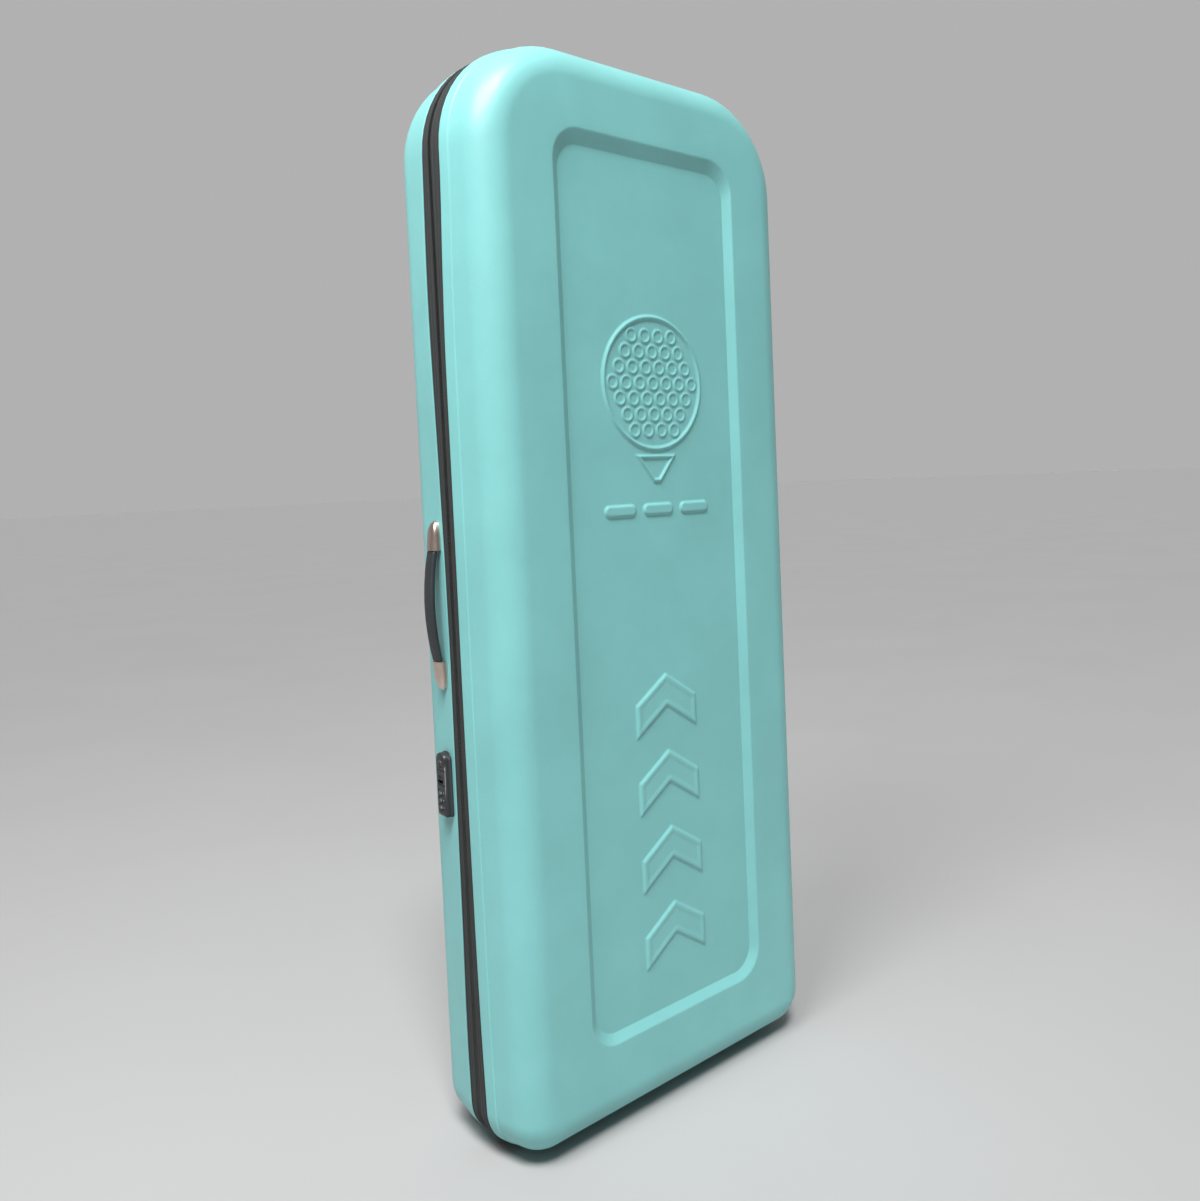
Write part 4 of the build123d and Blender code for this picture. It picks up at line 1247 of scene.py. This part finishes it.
# ---------------------------------------------------------------------------
# Fabric hinge along the right-hand side
# ---------------------------------------------------------------------------
def make_gusset():
    low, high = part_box("hinge_gusset_rear")
    low.z, high.z = low.z - 80 * MM, high.z + 34 * MM
    outer = high.x
    rows = 180
    across = [-20, -18.6, -18, -15, -12, -9, -7, -5, -3.5, -2.2, -1, 0]
    across += [-a for a in reversed(across[:-1])]
    rings = []
    for k in range(rows + 1):
        z = low.z + (high.z - low.z) * k / rows
        front, back = [], []
        for y in across:
            hem = 0.35 if abs(y) > 18.2 else 0
            pleat = 0.45 * cos(abs(y) / 9 * pi) if abs(y) < 9 else -0.45
            drift = 0.25 * sin(z * 61 + y) * (1 if abs(y) < 15 else 0.2)
            lift = (pleat + drift) * 0.6
            front.append(Vector((outer + (hem + lift - 0.25) * MM, y * MM, z)))
            back.append(Vector((outer + (-1.15 - hem + lift) * MM, y * MM, z)))
        rings.append(front + back[::-1])
    gusset = tidy_normals(loft("hinge_gusset", rings, caps=True))
    sharpen(gusset, 60)
    gusset.data.materials.append(looks["lining"])
    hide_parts("hinge_gusset_front", "hinge_gusset_rear")
    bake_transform(gusset)
    for sign, body in ((-1, "lid"), (1, "base")):
        spots = []
        for at in (16.4, 18.2):
            for k in range(int((high.z - low.z - 8 * MM) / (3.6 * MM))):
                a = Vector((low.x - 0.1 * MM, sign * at * MM, low.z + (4 + 3.6 * k) * MM))
                spots.append((a, a + Vector((0, 0, 2.6 * MM)), Vector((-1, 0, 0))))
        thread_run(f"gusset_stitches_{body}", spots, body)


make_gusset()


# ---------------------------------------------------------------------------
# Linings, with a rolled hem at the mouth and slight wrinkles
# ---------------------------------------------------------------------------
LINING_INSET, LINING_THICK, LINING_MOUTH = 8.2 * MM, 1.5 * MM, 14 * MM
LINING_ROUND = 26 * MM


def soft(x, y, z, size):
    """A smooth, repeatable wobble between about -1 and 1."""
    return noise.noise(Vector((x, y, z)) / size)


def lining_inset(half, depth):
    return LINING_INSET + (depth - BAND) * tan(DRAFT[half])


def make_lining(half):
    low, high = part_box(f"{half}_lining")
    far = max(abs(low.y), abs(high.y))
    draft = DRAFT[half]
    start = far - LINING_ROUND + LINING_ROUND * sin(draft)
    profile = [(0.0, LINING_MOUTH), (-0.35 * MM, LINING_MOUTH + 1.2 * MM)]
    profile.append((0.0, LINING_MOUTH + 3.4 * MM))
    profile = [(lining_inset(half, d) + i, d) for i, d in profile]
    steps = 14
    for k in range(1, steps + 1):
        d = LINING_MOUTH + 4 * MM + (start - LINING_MOUTH - 4 * MM) * k / steps
        profile.append((lining_inset(half, d), d))
    centre = lining_inset(half, start) + LINING_ROUND * cos(draft)
    for k in range(1, 9):
        a = draft + (pi / 2 - draft) * k / 8
        profile.append((centre - LINING_ROUND * cos(a), far - LINING_ROUND * (1 - sin(a))))
    inner = centre
    for inset in (8, 20, 36, 54, 74, 96, 120, 146, 172, 196, 208):
        profile.append((inner + inset * MM if inset < 200 else 243 * MM, far))
    rings = []
    for inset, depth in profile:
        ring = []
        for x, z in outline(inset):
            amount = min(max((depth - LINING_MOUTH - 4 * MM) / (20 * MM), 0), 1)
            wrinkle = soft(x, z, 7 * depth, 0.11) + 0.5 * soft(x + 3, z * 1.6, depth, 0.045)
            reach = depth + (0.9 * wrinkle - 0.6) * MM * amount
            ring.append(Vector((x, SIDE[half] * reach, z)))
        rings.append(ring)
    cloth = loft(f"{half}_lining_cloth", rings)
    count = len(rings[0])
    with editing(cloth) as bm:
        # quads across the middle, between the two sides of the last ring
        closing = [bm.verts[(len(rings) - 1) * count + k] for k in range(count)]
        one_side = lambda sign: [v for v in closing if v.co.x * sign > 0]
        by_height = lambda sign: sorted(one_side(sign), key=lambda v: v.co.z)
        right, left = by_height(1), by_height(-1)
        for k in range(min(len(right), len(left)) - 1):
            bm.faces.new([right[k], right[k + 1], left[k + 1], left[k]])
        bmesh.ops.remove_doubles(bm, verts=bm.verts, dist=0.00002)
        bmesh.ops.recalc_face_normals(bm, faces=bm.faces)
    wall_mod = cloth.modifiers.new("thick", "SOLIDIFY")
    wall_mod.thickness = LINING_THICK
    wall_mod.offset = -1
    apply_modifiers(cloth)
    if half == "rear":
        cutters = []
        for name in ("left", "right"):
            a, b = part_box(f"wheel_housing_{name}")
            ease = Vector((0.0006, 0.0006, 0.0006))
            cutters.append(slab("c", Vector((a.x, a.y, -0.02)) - ease, Vector((b.x, 0.2, b.z)) + ease))
        subtract(cloth, cutters)
    dress(sharpen(cloth, 40), "lining", BODY[half], [f"{half}_lining"])


for half in ("front", "rear"):
    make_lining(half)


# ---------------------------------------------------------------------------
# Foam pads: fabric-covered, swollen by a cloth simulation
# ---------------------------------------------------------------------------
PAD_NODES = ("butt_foam", "head_foam", "cradle_lower", "cradle_upper")
PAD_CAP = 4.5 * MM
PAD_SHRINK = 3.0 * MM
PAD_SMOOTH, PAD_VOXEL = 14, 5.5 * MM
PAD_PRESSURE, PAD_STIFFNESS, PAD_FRAMES = 4, 12, 20


def make_pad(node):
    """Start from a slightly smaller copy of the foam and let its cover swell."""
    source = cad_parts[node]
    pad = bpy.data.objects.new(f"{node}_cover", source.data.copy())
    pad.data.materials.clear()
    bpy.context.scene.collection.objects.link(pad)
    tidy_normals(pad)
    remesh = pad.modifiers.new("remesh", "REMESH")
    remesh.mode = "VOXEL"
    remesh.voxel_size = PAD_VOXEL
    apply_modifiers(pad)
    every_axis = {"use_axis_x": True, "use_axis_y": True, "use_axis_z": True}
    with editing(pad) as bm:
        for _ in range(PAD_SMOOTH):
            bmesh.ops.smooth_vert(bm, verts=bm.verts, factor=0.5, **every_axis)
        bm.normal_update()
        for v in bm.verts:
            v.co -= v.normal * PAD_SHRINK
    before = np.empty(len(pad.data.vertices) * 3)
    pad.data.vertices.foreach_get("co", before)
    before = before.reshape(-1, 3)
    cloth = pad.modifiers.new("cloth", "CLOTH")
    cloth.settings.quality = 4
    cloth.settings.use_pressure = True
    cloth.settings.uniform_pressure_force = PAD_PRESSURE
    cloth.settings.effector_weights.gravity = 0
    cloth.settings.tension_stiffness = PAD_STIFFNESS
    cloth.settings.compression_stiffness = PAD_STIFFNESS
    cloth.collision_settings.use_collision = False
    cloth.point_cache.frame_start, cloth.point_cache.frame_end = 1, PAD_FRAMES
    for step in range(1, PAD_FRAMES + 1):
        bpy.context.scene.frame_set(step)
    apply_modifiers(pad)
    bpy.context.scene.frame_set(1)
    after = np.empty(len(pad.data.vertices) * 3)
    pad.data.vertices.foreach_get("co", after)
    move = after.reshape(-1, 3) - before
    length = np.linalg.norm(move, axis=1, keepdims=True)
    move *= np.minimum(1, PAD_CAP / np.maximum(length, 1e-9))
    pad.data.vertices.foreach_set("co", (before + move).ravel())
    evened = pad.modifiers.new("evened", "SMOOTH")
    evened.factor, evened.iterations = 0.5, 3
    sub = pad.modifiers.new("sub", "SUBSURF")
    sub.levels = sub.render_levels = 1
    apply_modifiers(pad)
    dress(pad, "foam_cover", "base", [node])
    return pad


for node in PAD_NODES:
    make_pad(node)


# ---------------------------------------------------------------------------
# Straps with side-release buckles, over the cradles
# ---------------------------------------------------------------------------
def ribbon(name, path, half_width, thick, centre_z):
    """Webbing along a path of (x, y) points, its width along Z, with rolled edges."""
    section = []
    for k in range(16):
        a = 2 * pi * k / 16
        c, s = cos(a), sin(a)
        wide = half_width * (abs(c) ** 0.25) * (1 if c >= 0 else -1)
        section.append((wide, thick / 2 * (abs(s) ** 0.6) * (1 if s >= 0 else -1)))
    rings, along, far = [], 0.0, []
    for k, (x, y) in enumerate(path):
        ax, ay = path[max(k - 1, 0)]
        bx, by = path[min(k + 1, len(path) - 1)]
        length = hypot(bx - ax, by - ay)
        nx, ny = -(by - ay) / length, (bx - ax) / length
        rings.append([Vector((x + nx * t, y + ny * t, centre_z + w)) for w, t in section])
        along += hypot(x - path[max(k - 1, 0)][0], y - path[max(k - 1, 0)][1])
        far.append(along)
    band = loft(name, rings, caps=True)
    layer = band.data.uv_layers.new(name="path")
    count = len(section)
    for face in band.data.polygons:
        for i in face.loop_indices:
            v = band.data.loops[i].vertex_index
            layer.data[i].uv = (far[v // count], band.data.vertices[v].co.z)
    return tidy_normals(band, merge=False)


def smooth_path(points, steps=10):
    """A Catmull-Rom line through (x, y) points."""
    full = [points[0]] + list(points) + [points[-1]]
    path = []
    for k in range(1, len(full) - 2):
        p0, p1, p2, p3 = (Vector(full[k + j]) for j in (-1, 0, 1, 2))
        for j in range(steps):
            t = j / steps
            square = 2 * p0 - 5 * p1 + 4 * p2 - p3
            cube = 3 * p1 - p0 - 3 * p2 + p3
            path.append(tuple(0.5 * (2 * p1 + (p2 - p0) * t + square * t * t + cube * t**3)))
    path.append(tuple(full[-1]))
    return path


def make_strap(level):
    low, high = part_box(f"strap_{level}")
    z = (low.z + high.z) / 2
    y = low.y + 1 * MM
    half = (high.z - low.z) / 2
    parts = []
    for side in (-1, 1):
        points = [(35, 0), (80, 0.6), (140, 1.3), (200, 0.8), (226, 0.1)]
        points += [(233.4, 1.4), (234.9, 5), (234.3, 11), (233.6, 16.8)]
        path = smooth_path([(side * x * MM, y + dy * MM) for x, dy in points])
        parts.append(ribbon(f"strap_{level}_{side}", path, half - 0.1 * MM, 1.8 * MM, z))
    left, right = parts
    left.name, right.name = f"strap_{level}_left_webbing", f"strap_{level}_right_webbing"
    dress(left, "webbing", "base", [f"strap_{level}"])
    dress(right, "webbing", "base")
    # a boxed cross of stitches beside the buckle on both sides
    spots = []
    for side in (-1, 1):
        corners = [(44, -15), (62, -15), (62, 15), (44, 15), (44, -15), (62, 15), (62, -15), (44, 15)]
        for (u0, v0), (u1, v1) in zip(corners, corners[1:]):
            count = max(1, round(hypot(u1 - u0, v1 - v0) / 3.2))
            for k in range(count):
                ends = []
                for t in ((k + 0.12) / count, (k + 0.88) / count):
                    u, v = u0 + (u1 - u0) * t, v0 + (v1 - v0) * t
                    deep = y + (0.013 * (u - 35) - 0.85) * MM
                    ends.append(Vector((side * u * MM, deep, z + v * MM)))
                spots.append((*ends, Vector((0, -1, 0))))
    thread_run(f"strap_{level}_stitches", spots, "base")
    make_buckle(level, y, z)


THROUGH = (-6, 6)                     # millimetres: right through a buckle


def make_buckle(level, y, z):
    """The clip's two arms and the socket that they snap into, both with webbing bars."""
    at = lambda u, v, w: Vector((u, y + w, z + v))
    levels = [(1.2, -3.5), (0.3, -3.1), (0, -2.2), (0, 2.2), (0.3, 3.1), (1.2, 3.5)]
    socket = tiers(at, [(16.4 - i, 22 - i, 5, w) for i, w in levels], 17.2)
    cuts = [pill(at, 6.2, 3.4, 2.4, THROUGH, 9.5, v, steps=5) for v in (-19.6, 19.6)]
    cuts += [pill(at, 1.5, 17.2, 1.2, THROUGH, u, steps=4) for u in (24.2, 30.0)]
    cuts.append(pill(at, 11, 15.5, 2, (-2, 2), 8.4, steps=4))
    subtract(socket, cuts)
    socket.name = f"buckle_{level}_socket"
    dress(bevelled(socket, 0.5 * MM, 3, 35), "buckle_plastic", "base", [f"buckle_{level}"])

    levels = [(1.2, -4.5), (0.3, -4.0), (0, -3.0), (0, 3.0), (0.3, 4.0), (1.2, 4.5)]
    clip = tiers(at, [(14.2 - i, 23 - i, 5, w) for i, w in levels], -19.2)
    cuts = [pill(at, 1.5, 18, 1.2, THROUGH, u, steps=4) for u in (-30.4, -24.6)]
    cuts += [pill(at, 9, 4.4, 4, THROUGH, -9, v) for v in (-24.6, 24.6)]
    parts = [subtract(clip, cuts)]
    arm = [(-6.5, 15.0), (0.5, 16.2), (6.0, 18.2), (9.5, 20.4), (12.8, 18.8)]
    arm += [(14.5, 16.2), (12.5, 14.6), (8.0, 13.8), (0.5, 11.6), (-6.5, 10.4)]
    for side in (-1, 1):
        pts = [(u * MM, side * v * MM) for u, v in arm[::side]]
        parts.append(raised_block("arm", at, [(pts, -1.6 * MM), (pts, 1.6 * MM)]))
    parts.append(pill(at, 9.5, 2.2, 1.6, (-1.5, 1.5), 1.5, steps=4))
    both = join(f"buckle_{level}_clip", parts)
    dress(bevelled(both, 0.4 * MM, 3, 35), "buckle_plastic", "base")


for level in ("lower", "upper"):
    make_strap(level)


# ---------------------------------------------------------------------------
# Pocket in the lid
# ---------------------------------------------------------------------------
def make_pocket():
    low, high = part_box("lid_pocket")
    inset = HALF_WIDTH - high.x
    y = (low.y + high.y) / 2
    top = high.z
    cols, rows = 72, 80
    verts, faces = [], []
    half_base = high.x
    corner = BOTTOM_CORNER - inset

    def half_at(z):
        rise = z - low.z
        if rise >= corner:
            return half_base
        return half_base - corner + sqrt(max(corner**2 - (corner - rise) ** 2, 0))

    for r in range(rows + 1):
        t = r / rows
        z = low.z + (top - low.z) * (t ** 1.25 if t < 1 else 1)
        reach = half_at(max(z, low.z + 0.8 * MM))
        for c in range(cols + 1):
            s = 2 * c / cols - 1
            x = reach * s
            edge = min(1.0, (1 - abs(s)) * 9) * min(1.0, (z - low.z) / (60 * MM))
            fold = 0.9 * soft(x, 0, z, 0.09) + 0.5 * soft(x, 5, z * 0.4, 0.035)
            near_top = max(0.0, (z - top + 90 * MM) / (90 * MM))
            gather = 0.8 * sin(x * 180) * near_top * min(1, (1 - abs(s)) * 12)
            bulge = 2.2 * edge * (0.4 + 0.6 * (z - low.z) / (top - low.z))
            verts.append(Vector((x, y + (bulge + fold * edge + gather * 0.5) * MM, z)))
    width = cols + 1
    for r in range(rows):
        for c in range(cols):
            here, above = r * width + c, (r + 1) * width + c
            faces.append((here, here + 1, above + 1, above))
    panel = mesh_object("lid_pocket_panel", verts, faces)
    thick = panel.modifiers.new("thick", "SOLIDIFY")
    thick.thickness = 1.2 * MM
    thick.offset = 0
    apply_modifiers(panel)
    tidy_normals(panel)
    dress(sharpen(panel, 50), "lining", "lid", ["lid_pocket"])

    low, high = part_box("lid_pocket_binding")
    mid_y, mid_z = (low.y + high.y) / 2, (low.z + high.z) / 2
    rings = []
    for k in range(241):
        x = low.x + (high.x - low.x) * k / 240
        ripple = 0.25 * sin(x * 360) + 0.5 * soft(x, 0, 9, 0.05)
        ends = min(1, (HALF_WIDTH - 18 * MM - abs(x)) / (20 * MM))
        shift = (1.6 * ends + ripple * ends) * MM
        ring = []
        for w, t in super_section(7 * MM, 1.25 * MM, 20, 2.6):
            pinch = 0.25 * MM if abs(abs(w) - 4.6 * MM) < 0.5 * MM else 0
            bound_y = mid_y + shift * 0.6 + (t - pinch * (1 if t > 0 else -1))
            ring.append(Vector((x, bound_y, mid_z + w)))
        rings.append(ring)
    binding = tidy_normals(loft("lid_pocket_edge", rings, caps=True))
    layer = binding.data.uv_layers.new(name="path")
    for loop in binding.data.loops:
        co = binding.data.vertices[loop.vertex_index].co
        layer.data[loop.index].uv = (co.x, co.z)
    dress(binding, "webbing", "lid", ["lid_pocket_binding"])


make_pocket()

# ---------------------------------------------------------------------------
# CAD pieces that stay as they are get their own materials
# ---------------------------------------------------------------------------
KEPT = {
    "steel": ["side_backplate", "side_screws", "tow_backplate", "tow_screws"],
    "housing_plastic": ["wheel_housing_left", "wheel_housing_right"],
}
KEPT["steel"] += ["lock_shaft", "lock_backplate", "lock_screws", "foot_screws"]
KEPT["steel"] += ["axle_left", "axle_right"]
KEPT["steel"] += ["wheel_bearings_left", "wheel_bearings_right"]
for name, nodes in KEPT.items():
    for node in nodes:
        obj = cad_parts[node]
        obj.data.materials.clear()
        obj.data.materials.append(looks[name])


# ---------------------------------------------------------------------------
# The camera, at the photograph's viewing angle
# ---------------------------------------------------------------------------
IMAGE_W, IMAGE_H = 1200, 1201
FOCAL = 1071.3                     # in image widths of one pixel
CENTRE = (645.7, 535.8)
EYE = Vector((-0.9051, -1.0471, 0.7741 + 0.007))
YAW, PITCH, ROLL = radians(42.4675), radians(-2.9755), radians(-2.4334)


def make_camera():
    forward = Vector((sin(YAW) * cos(PITCH), cos(YAW) * cos(PITCH), sin(PITCH)))
    right = Vector((cos(YAW), -sin(YAW), 0))
    up = right.cross(forward)
    tilted_right = cos(ROLL) * right + sin(ROLL) * up
    tilted_up = -sin(ROLL) * right + cos(ROLL) * up
    data = bpy.data.cameras.new("camera")
    data.sensor_width = 36
    data.lens = FOCAL / IMAGE_H * data.sensor_width
    data.shift_x = (IMAGE_W / 2 - CENTRE[0]) / IMAGE_H
    data.shift_y = (CENTRE[1] - IMAGE_H / 2) / IMAGE_H
    data.clip_start = 0.02
    camera = bpy.data.objects.new("camera", data)
    bpy.context.scene.collection.objects.link(camera)
    rows = Matrix((tilted_right, tilted_up, -forward)).transposed()
    camera.matrix_world = Matrix.Translation(EYE) @ rows.to_4x4()
    bpy.context.scene.camera = camera


make_camera()


# ---------------------------------------------------------------------------
# Floor, light and world
# ---------------------------------------------------------------------------
WORLD_FRONT, WORLD_BACK = 0.15, 0.44
SUN, KEY = 2.7, 42


def aim(lamp, place, target):
    """Put a lamp at a place and turn it towards a target."""
    bpy.context.scene.collection.objects.link(lamp)
    lamp.location = place
    lamp.rotation_euler = (Vector(target) - Vector(place)).to_track_quat("-Z", "Y").to_euler()
    lamp.visible_camera = False


def make_stage():
    corners = [(-80, -80, 0), (80, -80, 0), (80, 80, 0), (-80, 80, 0)]
    floor = mesh_object("floor", corners, [(0, 1, 2, 3)], False)
    look = Look("floor_pale", 0.9)
    greys = [(0.3, (0.425, 0.425, 0.425)), (0.7, (0.44, 0.44, 0.44))]
    look.colour(look.ramp(look.noise(1.5, 3), greys))
    floor.data.materials.append(look.mat)
    world = bpy.data.worlds.new("world")
    world.use_nodes = True
    tree = world.node_tree
    backdrop = tree.nodes["Background"]
    backdrop.inputs["Color"].default_value = (1, 1, 1, 1)
    place = tree.nodes.new("ShaderNodeTexCoord")
    dot = tree.nodes.new("ShaderNodeVectorMath")
    dot.operation = "DOT_PRODUCT"
    dot.inputs[1].default_value = (0.675, 0.738, 0)
    span = tree.nodes.new("ShaderNodeMapRange")
    span.interpolation_type = "SMOOTHSTEP"
    levels = {"From Min": 0.2, "From Max": 0.75, "To Min": WORLD_FRONT, "To Max": WORLD_BACK}
    for key, value in levels.items():
        span.inputs[key].default_value = value
    tree.links.new(place.outputs["Generated"], dot.inputs[0])
    tree.links.new(dot.outputs["Value"], span.inputs["Value"])
    tree.links.new(span.outputs["Result"], backdrop.inputs["Strength"])
    bpy.context.scene.world = world
    bpy.context.scene.view_settings.view_transform = "Standard"
    sun = bpy.data.lights.new("sun", "SUN")
    sun.energy = SUN
    sun.angle = radians(16)
    aim(bpy.data.objects.new("sun", sun), (-1.1, -1.6, 3.6), (0, 0, 0))
    key = bpy.data.lights.new("key", "AREA")
    key.size = 0.9
    key.energy = KEY
    aim(bpy.data.objects.new("key", key), (-1.22, -0.42, 2.4), (-0.1, 0, 1.0))


make_stage()
